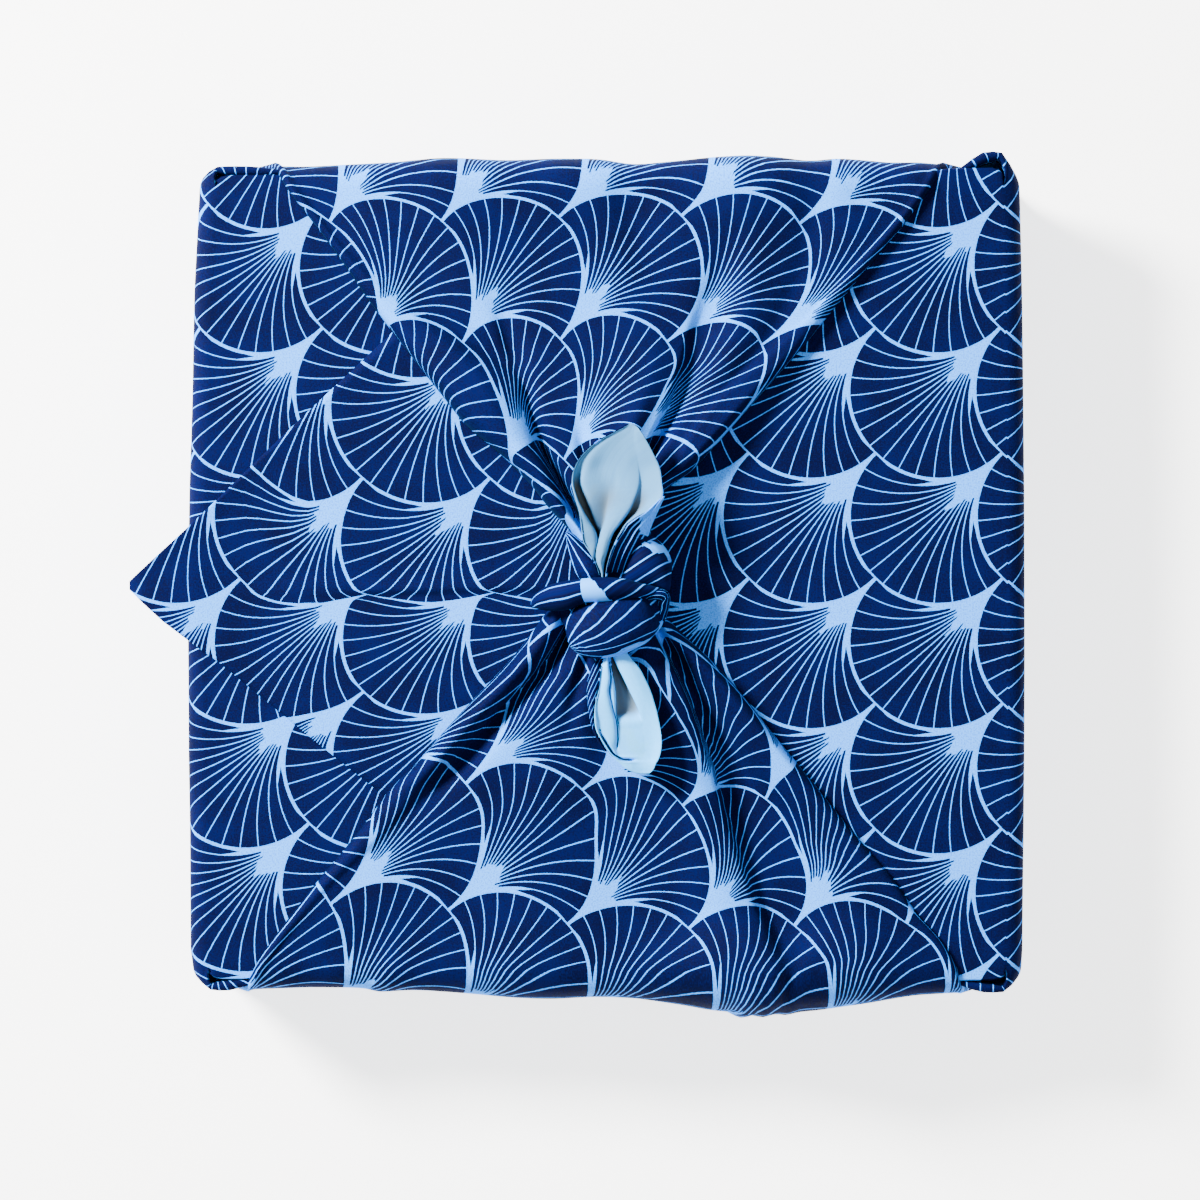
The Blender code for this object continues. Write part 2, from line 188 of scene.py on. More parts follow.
class Sheet:
    """Grids of points that become one mesh: places, flat places (both in mm) and depth in a fold."""

    def __init__(self):
        self.points, self.flat, self.deep, self.faces = [], [], [], []
        self.count = 0

    def add(self, points, flat, keep=None, turned=False, deep=None):
        rows, columns = points.shape[:2]
        self.deep.append(np.zeros(rows * columns) if deep is None else deep.ravel())
        self.points.append(points.reshape(-1, 3))
        self.flat.append(flat.reshape(-1, 2))
        index = np.arange(rows * columns).reshape(rows, columns) + self.count
        quads = np.stack([index[:-1, :-1], index[:-1, 1:], index[1:, 1:], index[1:, :-1]], axis=-1)
        if keep is not None:
            quads = quads[keep]
        quads = quads.reshape(-1, 4)
        self.faces.append(quads[:, ::-1] if turned else quads)
        self.count += rows * columns

    def build(self, name):
        points = np.concatenate(self.points) * MM
        flat = np.concatenate(self.flat) * MM
        faces = np.concatenate(self.faces)
        mesh = bpy.data.meshes.new(name)
        mesh.from_pydata(points.tolist(), [], faces.tolist())
        layer = mesh.uv_layers.new(name="flat_cloth")
        corner = np.empty(len(mesh.loops), np.int32)
        mesh.loops.foreach_get("vertex_index", corner)
        layer.data.foreach_set("uv", flat[corner].astype(np.float32).ravel())
        deep = np.concatenate(self.deep)
        if deep.any():
            layer = mesh.attributes.new("fold_depth", "FLOAT", "CORNER")
            layer.data.foreach_set("value", deep[corner].astype(np.float32))
        bm = bmesh.new()
        bm.from_mesh(mesh)
        bmesh.ops.remove_doubles(bm, verts=bm.verts, dist=0.00001)
        bmesh.ops.dissolve_degenerate(bm, edges=bm.edges, dist=0.000005)
        loose = [v for v in bm.verts if not v.link_faces]
        bmesh.ops.delete(bm, geom=loose, context="VERTS")
        bm.to_mesh(mesh)
        bm.free()
        for polygon in mesh.polygons:
            polygon.use_smooth = True
        obj = bpy.data.objects.new(name, mesh)
        bpy.context.collection.objects.link(obj)
        return obj


# %% [markdown]
# ## The strip from left tip to right tip
# One long grid runs from the tip of the first corner, over the top, down the left side, under the
# box, up the right side and over the top again to the tip that hangs out. Beside each wall the
# grid goes on round the upright corners, as the pleats do, and beside each top it turns down
# inside those pleats. So the pockets at the corners open between two real layers of cloth.

# %% Outline of the parcel and the pleats
# How far out the top edge of each side lies, from its near end to its far end: (y, left x, right x)
SIDE_LINE = (
    (-139, 140.6, 141.0),
    (-127, 142.2, 141.8),
    (-86, 142.4, 142.4),
    (-59, 143.0, 142.6),
    (-25, 143.1, 142.6),
    (30, 142.6, 142.4),
    (64, 141.6, 142.0),
    (98, 140.9, 141.6),
    (132, 139.2, 141.0),
    (139, 138.4, 140.4),
)
# The pleat at the top of each upright corner, by side x and side y:
# (x of its middle, half width, how far it stands off, radius of its rolled lip)
POCKETS = {
    (-1, 1): (-126.0, 12.5, 1.5, 1.55),
    (1, 1): (131.0, 8.6, 6.4, 1.7),
    (-1, -1): (-131.0, 7.5, 2.4, 1.7),
    (1, -1): (131.0, 9.0, 3.0, 1.5),
}
CENTRAL, WING, ACROSS = 44, 20, 150  # spaces of the grid over a panel, round a corner, across the box
# Shares of the way across the box, closer together near both edges
share_across = np.linspace(0, 1, ACROSS + 1)
share_across = 0.55 * share_across + 0.45 * (0.5 - 0.5 * np.cos(math.pi * share_across))


def side_line(y, side):
    """How far out the left (-1) or right (1) side lies at its top."""
    line = np.array(SIDE_LINE, float)
    return np.interp(y, line[:, 0], line[:, 1 if side < 0 else 2])


def pleat_off(side_x, side_y, x, z):
    """How far the pleat stands off the corner, which grows from low down to the top."""
    middle, half, out, _ = POCKETS[side_x, side_y]
    return out * np.exp(-(np.abs((x - middle) / half) ** 3)) * ramp(z, 14.0, 46.0)


def lip_radius(side_x, side_y, x):
    """Radius of the lip: full in the middle of the pleat, and the least bend beyond it."""
    middle, half, _, lip = POCKETS[side_x, side_y]
    least = 0.25
    return least + (lip - least) * np.exp(-(np.abs((x - middle) / (half * 1.25)) ** 4))


def wall_levels(top):
    """(height, inset of the side, height of the pleat) at the foot, up the wall and over the edge."""
    rows = []
    for angle in np.linspace(0, math.pi / 2, 5):
        z = FOOT_RADIUS * (1 - math.cos(angle))
        rows.append((z, FOOT_RADIUS * (1 - math.sin(angle)), z))
    start = top - EDGE_RADIUS
    for z in np.linspace(FOOT_RADIUS, start, 15)[1:]:
        rows.append((z, 0.5 * math.sin(math.pi * (z - FOOT_RADIUS) / (start - FOOT_RADIUS)), z))
    for angle in np.linspace(0, math.pi / 2, 8)[1:]:
        z = start + EDGE_RADIUS * math.sin(angle)
        rows.append((z, EDGE_RADIUS * (1 - math.cos(angle)), start + 0.78 * EDGE_RADIUS * math.sin(angle)))
    return rows


print("sheet grid:", CENTRAL + 2 * WING, "by", ACROSS)


# %% One side of the strip
FLAT_PER_RUN = (WALL_FLAT + 5.5) / 54.4  # flat cloth for each mm up a side and over its edge


def wing_steps(length, power=1.35):
    """Distances from a corner out along a pleat, closer together near the corner."""
    return (np.arange(1, WING + 1) / WING) ** power * length


def print_shift(side, y, share=1.0):
    """The cloth lies a little askew: how far the print is moved on each side of the parcel."""
    if side < 0:
        return share * (0.027 * y - 1.1), share * (0.026 * y - 1.0)
    return share * (0.6 - 0.004 * abs(y - 20)), share * (0.015 * y - 0.05)


def wall_row(side, level, top):
    """One row up a side: its middle part, and the pleats round both upright corners."""
    z, inset, z_end = level
    foot_round = 2.0 * math.sqrt(max(0.0, 1 - (1 - min(z, 2.0) / 2.0) ** 2))
    pleat_y = HALF_DEPTH - FOOT_RADIUS + foot_round + 1.9 * float(ramp(z, 8, 30))
    corner = 5.6 * float(ramp(z, 0.0, 9.0))  # radius of the upright corner at this height
    limit = pleat_y - corner
    y = np.linspace(-limit, limit, CENTRAL + 1)
    flex = float(ramp(z, 0.0, 40.0))
    out = HALF_WIDTH + (side_line(y, side) - HALF_WIDTH) * (0.35 + 0.65 * flex) - inset
    bulge = 0.5 * ripple(y, z, 120.0, 1.3 + side) * math.sin(math.pi * min(1.0, z / top))
    middle = np.stack([side * (out + bulge), y, np.full_like(y, z)], axis=-1)

    arc = math.pi / 2 * corner
    length = arc + max(corner, 1.6 * z_end) - corner
    w = wing_steps(length)
    round_share = np.clip(w / max(arc, 1e-6), 0, 1)
    angle = round_share * math.pi / 2
    turned = 1 - round_share
    wings = []
    for side_y in (-1, 1):
        edge = middle[0 if side_y < 0 else -1]
        x = abs(edge[0]) + inset - corner * (1 - np.cos(angle)) - np.maximum(0, w - arc)
        x = x - inset * turned - 0.6 * (1 - turned) * float(ramp(z_end, 36, 48))
        off = pleat_off(side, side_y, side * x, z_end) * (1 - turned)
        y_out = limit + corner * np.sin(angle) + off
        wings.append(np.stack([side * x, side_y * y_out, z_end + (z - z_end) * turned], axis=-1))
    return middle, wings, length


def strip_side(side, top):
    """Rows from the foot up to the top, with their flat places."""
    rows, flats = [], []
    run, last = 0.0, None
    for level in wall_levels(top):
        middle, wings, length = wall_row(side, level, top)
        here = np.array([level[1], level[0]])
        run += 0.0 if last is None else float(np.linalg.norm(here - last))
        last = here
        steps = wing_steps(length)
        flat_y = np.concatenate([middle[0, 1] - steps[::-1], middle[:, 1], middle[-1, 1] + steps])
        move_x, move_y = print_shift(side, flat_y)
        rows.append(np.concatenate([wings[0][::-1], middle, wings[1]]))
        flats.append(np.stack([side * (HALF_FLAT + run * FLAT_PER_RUN) + move_x, flat_y + move_y], axis=-1))
    return rows, flats


# %% [markdown]
# The two corners on top are nearly flat. Where their edge is a fold at the far or near side of the
# box, the cloth turns down inside the pleat. Where it is the hem of the square, it simply ends.
# A soft pleat across the over corner swallows a little of the print.

# %% The corners on top
FIRST_ROWS = (
    # (x, low y, high y): folded edges, then the slanted hems to the hidden tip
    (-136.5, -132.8, 132.8),
    (-135.9, -134.4, 134.4),
    (-134.6, -135.5, 135.5),
    (-132.4, -136.0, 136.0),
    (-128.0, -136.1, 136.1),
    (-60.0, -136.1, 136.1),
    (26.0, -135.4, 135.4),
    (60.0, -101.0, 101.0),
    (132.0, -28.0, 28.0),
)
OVER_ROWS = (
    # (x, low y, high y, height)
    (136.5, -132.8, 132.8, 0.0),
    (136.0, -134.6, 136.2, 0.0),
    (134.8, -135.8, 138.0, 0.0),
    (132.4, -136.3, 138.4, 0.0),
    (118.0, -136.4, 138.2, 0.0),
    (104.0, -136.4, 136.6, 0.0),
    (60.0, -136.2, 136.2, 0.0),
    (-2.0, -135.8, 136.2, 0.0),
    (-14.0, -124.0, 135.6, 0.0),
    (-40.0, -102.8, 114.6, 0.0),
    (-72.1, -77.2, 84.0, 0.0),
    (-96.0, -58.4, 61.6, 0.1),
    (-118.0, -40.4, 40.6, 0.3),
    (-132.0, -29.0, 26.8, 0.9),
    (-142.0, -21.8, 17.2, 1.4),
    (-151.0, -15.0, 9.0, 1.3),
    (-158.0, -8.6, 2.6, 0.7),
    (-162.3, -4.2, -1.4, 0.2),
)
PLEAT_Y, PLEAT_TAKES = -5.8, 9.3  # where the soft pleat lies, and how much print it swallows
FOLDED_Y = 132.5  # an edge farther out than this is a fold, and not the hem


def panel_edge(table, x, column):
    """A column of the rows of a panel at x, on straight lines between the rows."""
    rows = np.array(sorted(table))
    return np.interp(x, rows[:, 0], rows[:, column])


def edge_normal(table, x, column):
    """Direction out of a panel at its folded edge."""
    near = 0.4
    slope = (panel_edge(table, x + near, column) - panel_edge(table, x - near, column)) / (2 * near)
    away = np.array([-slope, 1.0]) if column == 2 else np.array([slope, -1.0])
    return away / np.linalg.norm(away)


def down_inside(x, y, z, away):
    """The cloth beside a top panel, turned down inside the pleat. away points out of the panel."""
    w = wing_steps(17.0, 1.4)
    radius = 0.8
    angle = np.clip(w / (radius * math.pi / 2), 0, 1) * math.pi / 2
    out = radius * np.sin(angle)
    down = radius * (1 - np.cos(angle)) + np.maximum(0, w - radius * math.pi / 2)
    return np.stack([x + away[0] * out, y + away[1] * out, z - down], axis=-1), w


def panel_y(x, side, low, high):
    """Places across a panel, packed closer at the soft pleat of the over corner."""
    packed = 7.0 * float(ramp(x, -95, -80) * ramp(-x, 10, 25)) if side > 0 else 0.0
    fine = np.linspace(low, high, 801)
    weight = 1 + packed * np.exp(-(((fine - PLEAT_Y) / 3.2) ** 2))
    total = np.concatenate([[0], np.cumsum((weight[1:] + weight[:-1]) / 2)])
    return np.interp(np.linspace(0, 1, CENTRAL + 1), total / total[-1], fine)


def over_pleat(x, y):
    """The soft pleat of the over corner: print that it takes, print moved along it, and its relief."""
    here = float(ramp(x, -126, -98) * ramp(-x, 8, 22))
    crease = (y - PLEAT_Y - 0.02 * (x + 50)) / 1.5
    takes = PLEAT_TAKES * np.tanh(crease) / 2 + 3.95 - 0.125 * np.maximum(0, -12 - y)
    moved = 0.9 * np.exp(-(((y + 18) / 14) ** 2)) - 0.5
    moved = moved - 2.9 * ramp(-y, 22, 75) - 0.09 * np.maximum(0, y - 21)
    relief = 0.9 * np.exp(-(((crease - 1.4) / 1.6) ** 2)) - 0.35 * np.exp(-((crease / 0.8) ** 2))
    return here * takes, here * moved, here * relief


def top_rows(table, side, level):
    """Rows of a top panel from its wall to its tip, their flat places, and where they turn down inside."""
    spacing = 5.0
    ends = []
    for (x0, *_), (x1, *_) in zip(table, table[1:]):
        count = max(1, int(abs(x1 - x0) / spacing + 0.5))
        ends += list(np.linspace(x0, x1, count + 1)[1:])
    rows, flats, folded = [], [], []
    for x in ends:
        low, high = float(panel_edge(table, x, 1)), float(panel_edge(table, x, 2))
        y = panel_y(x, side, low, high)
        z = level + 0.3 * ripple(x, y, 90.0, 0.7) * ramp(HALF_WIDTH - abs(x), 4, 20)
        takes, moved = np.zeros_like(y), np.zeros_like(y)
        if side > 0:
            takes, moved, relief = over_pleat(x, y)
            edge_lift = 0.3 * ramp(9 - np.minimum(y - low, high - y), 0, 9)
            z = z + panel_edge(table, x, 3) + edge_lift + relief
        line = x + side * (side_line(y, side) - HALF_WIDTH) * float(ramp(abs(x), 96, 136.5))
        middle = np.stack([line, y, z], axis=-1)
        near, near_w = down_inside(line[0], low, float(z[0]), edge_normal(table, x, 1))
        far, far_w = down_inside(line[-1], high, float(z[-1]), edge_normal(table, x, 2))
        flat_x = side * (HALF_FLAT * 2 + WALL_FLAT - side * x) + np.pad(moved, WING, "edge")
        flat_y = np.concatenate([low - near_w[::-1], y, high + far_w])
        move_x, move_y = print_shift(side, flat_y)
        rows.append(np.concatenate([near[::-1], middle, far]))
        flats.append(np.stack([flat_x + move_x, flat_y + move_y + np.pad(takes, WING, "edge")], axis=-1))
        folded.append((low < -FOLDED_Y, high > FOLDED_Y))
    return rows, flats, folded


# %% Join the strip
def roll_lip(sheet, side_x, side_y, wall, wall_flat):
    """The pleat's top edge rolls over inwards, and goes down again inside the pocket."""
    part = slice(WING, None, -1) if side_y < 0 else slice(-WING - 1, None)
    edge, flat = wall[part], wall_flat[part]
    along = np.gradient(edge[:, :2], axis=0)
    inward = np.stack([-along[:, 1], along[:, 0]], axis=-1)
    inward /= np.linalg.norm(inward, axis=1)[:, None]
    inward *= np.sign(np.sum(inward * -edge[:, :2], axis=1))[:, None]
    begins = ramp(np.arange(WING + 1), 0, 6)
    radius = lip_radius(side_x, side_y, edge[:, 0]) * begins
    rows, flats = [edge], [flat]

    def take(row, spent):
        rows.append(row)
        flats.append(flat + np.stack([side_x * spent, np.zeros_like(spent)], axis=-1))

    for angle in np.linspace(0, math.pi, 10)[1:]:
        row = edge.copy()
        row[:, :2] += inward * (radius * (1 - math.cos(angle)))[:, None]
        row[:, 2] += radius * math.sin(angle)
        take(row, radius * angle)
    rolled_over = rows[-1]
    for down in (3.0, 7.0, 12.0):
        row = rolled_over.copy()
        row[:, 2] -= down * begins
        take(row, radius * math.pi + down)
    sheet.add(np.array(rows), np.array(flats), turned=side_x * side_y < 0)


def base_rows():
    """Rows under the box, from left to right, with their flat places."""
    half = HALF_WIDTH - FOOT_RADIUS
    y = np.linspace(-1, 1, CENTRAL + 1) * (HALF_DEPTH - FOOT_RADIUS)
    y = np.pad(y, WING, "edge")
    rows, flats = [], []
    for x in -half + 2 * half * share_across:
        rows.append(np.stack([np.full_like(y, x), y, np.zeros_like(y)], axis=-1))
        move_x, move_y = print_shift(np.sign(x), y, float(ramp(abs(x), 0, half)))
        flats.append(np.stack([x * HALF_FLAT / half + move_x, y + move_y], axis=-1))
    return rows, flats


def build_strip(sheet):
    """All rows from tip to tip as one grid. A row's two folds say where it reaches into the pleats."""
    first, first_flat, first_folds = top_rows(FIRST_ROWS, -1, FIRST_TOP)
    left, left_flat = strip_side(-1, FIRST_TOP)
    base, base_flat = base_rows()
    right, right_flat = strip_side(1, OVER_TOP)
    over, over_flat, over_folds = top_rows(OVER_ROWS, 1, OVER_TOP)
    stretches = (
        ("top", first[::-1], first_flat[::-1], first_folds[::-1]),
        ("wall", left[:0:-1], left_flat[:0:-1], None),
        ("base", base, base_flat, None),
        ("wall", right[1:], right_flat[1:], None),
        ("top", over, over_flat, over_folds),
    )
    rows, flats, kinds = [], [], []
    for kind, new_rows, new_flats, folds in stretches:
        rows += new_rows
        flats += new_flats
        kinds += [(kind, fold) for fold in folds or [None] * len(new_rows)]

    keep = np.ones((len(rows) - 1, CENTRAL + 2 * WING), bool)
    for i, ((kind, fold), (next_kind, next_fold)) in enumerate(zip(kinds, kinds[1:])):
        pair = {kind, next_kind}
        if pair == {"top"}:
            keep[i, :WING] = fold[0] and next_fold[0]
            keep[i, -WING:] = fold[1] and next_fold[1]
        elif pair not in ({"wall"}, {"wall", "base"}):
            keep[i, :WING] = False
            keep[i, -WING:] = False
    sheet.add(np.array(rows), np.array(flats), keep)
    for side, wall, wall_flat in ((-1, left[-1], left_flat[-1]), (1, right[-1], right_flat[-1])):
        for side_y in (-1, 1):
            roll_lip(sheet, side, side_y, wall, wall_flat)
    print("strip:", len(rows), "rows of", CENTRAL + 1 + 2 * WING, "points")


# %% [markdown]
# ## The tied corners
# The far and near corners come up their sides, over the edge and into the knot. Each has two
# folded edges that slant in from the foot of the box. The tables give where those edges lie, how
# high the cloth stands off the parcel, how thick the rolled edges are, and each fold's line. These
# values were set one fold at a time, because no rule gives where cloth happens to fold.

# %% Tables of the far corner
KNOWN_X = (-49.05, -5.85, 37.35)  # flat places whose places on the parcel are in the tables
# run is the way along the cloth: up the side to about 49, then over the top towards the knot
FAR_EDGES = (
    # (run, left x, right x, height)
    (-2.3, -138.5, 138.5, 0.0),
    (4, -136.0, 136.0, 0.0),
    (12, -131.5, 132.0, 0.7),
    (24, -125.0, 127.0, 1.9),
    (43, -115.0, 116.5, 2.8),
    (54, -108.0, 109.0, 2.8),
    (65, -99.5, 101.0, 2.9),
    (80, -88.5, 88.4, 3.2),
    (94.5, -78.5, 76.6, 3.8),
    (106, -69.6, 67.2, 4.6),
    (117, -61.0, 57.6, 5.6),
    (126, -53.9, 49.6, 6.8),
    (134, -47.4, 42.4, 8.2),
    (143, -36.6, 34.4, 9.8),
    (149, -30.4, 28.6, 10.8),
    (154.5, -25.2, 21.0, 11.6),
    (161, -20.2, 17.0, 12.4),
    (172, -10.6, 14.6, 13.6),
    (183, -8.6, 13.0, 13.4),
)
FAR_ROLLS = (
    # (run, then for the left edge and again for the right one:
    # width of the roll, its height, share of a valley beside it, width of the valley)
    (-2.3, 1.0, 0.3, 0.0, 2.0, 1.0, 0.3, 0.0, 2.0),
    (24, 2.4, 1.6, 0.0, 2.0, 2.4, 1.6, 0.0, 2.0),
    (54, 4.5, 3.0, 0.0, 3.0, 4.5, 3.0, 0.0, 3.0),
    (80, 8.0, 4.2, 0.05, 3.0, 7.0, 4.0, 0.0, 3.0),
    (93, 17.0, 5.6, 0.15, 4.0, 9.0, 4.8, 0.0, 3.0),
    (104, 26.0, 7.8, 0.4, 4.0, 13.0, 5.2, 0.0, 3.0),
    (112, 30.0, 9.6, 0.6, 3.6, 16.0, 6.0, 0.0, 3.0),
    (119, 31.0, 11.0, 0.75, 3.2, 20.0, 7.0, 0.1, 3.0),
    (127, 26.0, 12.0, 0.9, 2.6, 22.0, 8.4, 0.1, 3.0),
    (134, 22.6, 12.6, 0.98, 2.4, 20.5, 9.6, 0.1, 3.0),
    (143, 15.2, 13.0, 1.0, 2.4, 16.5, 10.6, 0.1, 3.0),
    (150, 12.0, 13.2, 1.0, 2.2, 10.5, 11.0, 0.2, 2.0),
    (154.5, 9.8, 13.0, 0.98, 2.2, 8.0, 11.2, 0.2, 2.0),
    (161, 8.2, 12.8, 0.9, 3.0, 6.4, 11.4, 0.2, 2.0),
    (172, 5.4, 12.6, 0.7, 2.0, 4.4, 11.2, 0.2, 2.0),
    (183, 4.0, 11.0, 0.4, 2.0, 3.4, 10.0, 0.2, 2.0),
)
FAR_FOLDS = (
    # each fold: (run, x, half width to the left, half width to the right, height), ...
    ((60, -46, 13, 13, 0), (84, -38, 8, 8, -0.6), (97, -35.5, 3.0, 5.0, -1.5),
     (107, -33, 2.2, 5.0, -2.4), (114, -30.6, 2, 4, -2.2), (121, -29, 2, 3, 0)),
    ((50, -56, 20, 20, 0), (70, -50, 16, 16, 1.4), (96, -40, 13, 10, 0.8), (112, -28, 10, 10, 0)),
    ((50, 6, 5, 5, 0), (60, 8, 5, 8, -1.5), (78, 12, 5, 9, -1.0), (100, 16, 5, 8, 0)),
    ((92, 8, 16, 12, 0), (112, 15, 14, 7, 2.0), (124, 12, 12, 6, 3.4), (137, 7, 9, 5, 4.2),
     (155, 3, 5, 4, 2.6), (172, 2, 3, 3, 0)),
    ((50, 46, 16, 16, 0), (66, 46, 13, 12, 2.4), (80, 47, 10, 9, 2.6), (96, 46, 9, 8, 2.0),
     (114, 40, 7, 6, 1.4), (128, 34, 5, 5, 0)),
    ((60, 46, 9, 9, 0), (76, 40, 5, 9, -2.0), (91, 35, 3.4, 8, -3.6), (103, 30.2, 2.2, 7, -5.0),
     (109, 28.2, 1.6, 6.4, -6.0), (117, 25.6, 1.3, 5.4, -7.4), (123, 23.4, 1.2, 4.6, -8.4),
     (130, 20.0, 1.1, 4.0, -9.4), (137, 16.6, 1.1, 3.4, -9.6), (150, 11.0, 1.1, 2.6, -7.6),
     (165, 6, 1, 2, -5), (180, 4, 1.4, 1.4, -2)),
    ((40, -88, 9, 9, 0), (58, -82, 8, 8, 0.5), (84, -70, 6, 6, 0.4), (100, -60, 5, 5, 0)),
    ((50, 70, 4, 5, 0), (62, 69, 4, 6, -1.3), (80, 66, 4, 6, -1.3), (100, 57, 4, 5, -1.2),
     (116, 46, 4, 4, -1.2), (130, 36, 3, 3, -1.2), (144, 26, 2, 2, 0)),
    ((128, -10, 3, 3, 0), (140, -8.4, 2.2, 2.2, -1.8), (160, -4.6, 1.4, 1.4, -2.8),
     (181, -2, 1.2, 1.2, -1)),
    ((128, 4, 4, 4, 0), (144, 4, 2.4, 2.4, -1.8), (160, 2, 1.6, 1.6, -2.8), (181, 1.6, 1.4, 1.4, -1)),
    ((44, 84, 9, 9, 0), (52, 88, 7, 7, -0.8), (66, 82, 7, 7, 0.5), (84, 76, 6, 6, 0)),
)
FAR_MATCH = (
    # where known places of the flat cloth lie: run, flat y, flat x at the left edge, the places of
    # the three KNOWN_X, flat x at the right edge, then what is added to flat y at those five
    (-2.3, 141.0, -138.5, -49.0, -5.9, 37.3, 138.5, 0, 0, 0, 0, 0),
    (20, 165.0, -131.0, -48.0, -5.8, 37.8, 129.5, -1, -1, 0, 0.6, -2),
    (43, 191.5, -122.0, -47.4, -5.0, 38.2, 119.5, -1.5, -1.6, 0.3, 1.4, -5),
    (52.6, 203.4, -117.5, -46.9, -4.7, 38.4, 115.5, -1.2, -1.2, 0.3, 1.6, -5.6),
    (62, 213.7, -113.8, -45.5, -5.0, 37.2, 111.0, -0.6, -0.6, 1.4, 1.6, -5.0),
    (92.1, 246.6, -102.0, -42.5, -5.8, 33.5, 96.3, -3.0, -2.2, 0, -3.2, -5),
    (115.7, 273.9, -84.1, -36.4, -6.6, 24.6, 87.0, -4.0, -4.4, -3.2, -3.6, -4.4),
    (126.7, 286.5, -74.5, -32.7, -7.6, 18.6, 83.0, -7.0, -6, -5.0, -4.4, -5),
    (136.5, 298.0, -69.7, -28.0, -8.0, 13.6, 80.0, -9.0, -7, -6.6, -5, -5),
    (150, 314.0, -64.0, -19.4, -7.0, 9.4, 75.0, -8, -6, -6, -5, -5),
    (165, 332.0, -58.0, -10.0, -3.8, 5.4, 68.0, -5, -4, -4, -4, -4),
    (183, 353.0, -52.0, -5.4, -0.6, 4.6, 60.0, 0, 0, 0, 0, 0),
)
# How far the fold over the box's far edge stands out, from left to right: (x, mm)
FAR_LINE = (
    (-116, 1.0), (-102, 0.6), (-91, 1.3), (-72, 2.9), (-58, 4.3), (-50, 4.2), (-34, 3.5), (-18, 4.2),
    (-4, 4.1), (2, 3.3), (6, 2.0), (10, 1.7), (21, 3.0), (35, 4.6), (48, 5.2), (59, 4.6), (69, 3.2),
    (78, 4.2), (85, 3.7), (96, 2.6), (106, 2.8), (116, 1.6),
)

# %% Tables of the near corner
# The columns are those of the far corner's tables.
NEAR_EDGES = (
    (-2.3, -138.5, 138.5, 0.0),
    (4, -137.0, 136.6, 0.0),
    (12, -134.0, 133.0, 0.6),
    (24, -130.6, 129.4, 1.4),
    (43, -124.4, 122.6, 2.3),
    (54, -118.8, 118.0, 2.6),
    (61.5, -113.9, 113.6, 2.7),
    (70, -107.4, 106.0, 2.9),
    (84, -96.4, 96.0, 3.3),
    (94, -88.0, 87.2, 3.8),
    (106, -78.8, 77.4, 4.6),
    (113, -73.6, 71.8, 5.2),
    (122, -64.4, 64.4, 6.2),
    (132, -55.9, 56.2, 7.6),
    (140, -48.6, 50.0, 8.8),
    (148, -41.0, 43.4, 10.0),
    (157, -32.7, 35.0, 11.2),
    (166, -25.6, 25.4, 12.2),
    (172, -21.4, 19.6, 12.6),
    (180, -14.0, 14.0, 12.6),
)
NEAR_ROLLS = (
    (-2.3, 1.0, 0.3, 0.0, 2.0, 1.0, 0.3, 0.0, 2.0),
    (24, 2.4, 1.2, 0.0, 2.0, 2.4, 1.4, 0.0, 2.0),
    (54, 4.5, 2.8, 0.0, 3.0, 5.0, 3.0, 0.0, 3.0),
    (84, 9.0, 4.0, 0.0, 4.0, 14.0, 4.2, 0.0, 3.0),
    (100, 15.0, 5.2, 0.15, 6.0, 21.0, 5.6, 0.0, 3.0),
    (111, 15.0, 6.6, 0.45, 8.0, 22.5, 6.8, 0.0, 3.0),
    (118, 12.6, 8.2, 0.8, 8.0, 22.5, 7.6, 0.0, 3.0),
    (124, 11.6, 9.2, 0.95, 8.0, 21.8, 8.2, 0.0, 3.0),
    (136, 12.2, 10.2, 1.0, 7.0, 19.6, 9.4, 0.0, 3.0),
    (154, 12.2, 11.6, 1.0, 6.0, 13.6, 11.0, 0.1, 3.0),
    (168, 10.4, 12.2, 0.95, 5.0, 8.0, 11.6, 0.2, 2.0),
    (180, 6.6, 11.0, 0.6, 3.0, 4.0, 11.0, 0.2, 2.0),
)
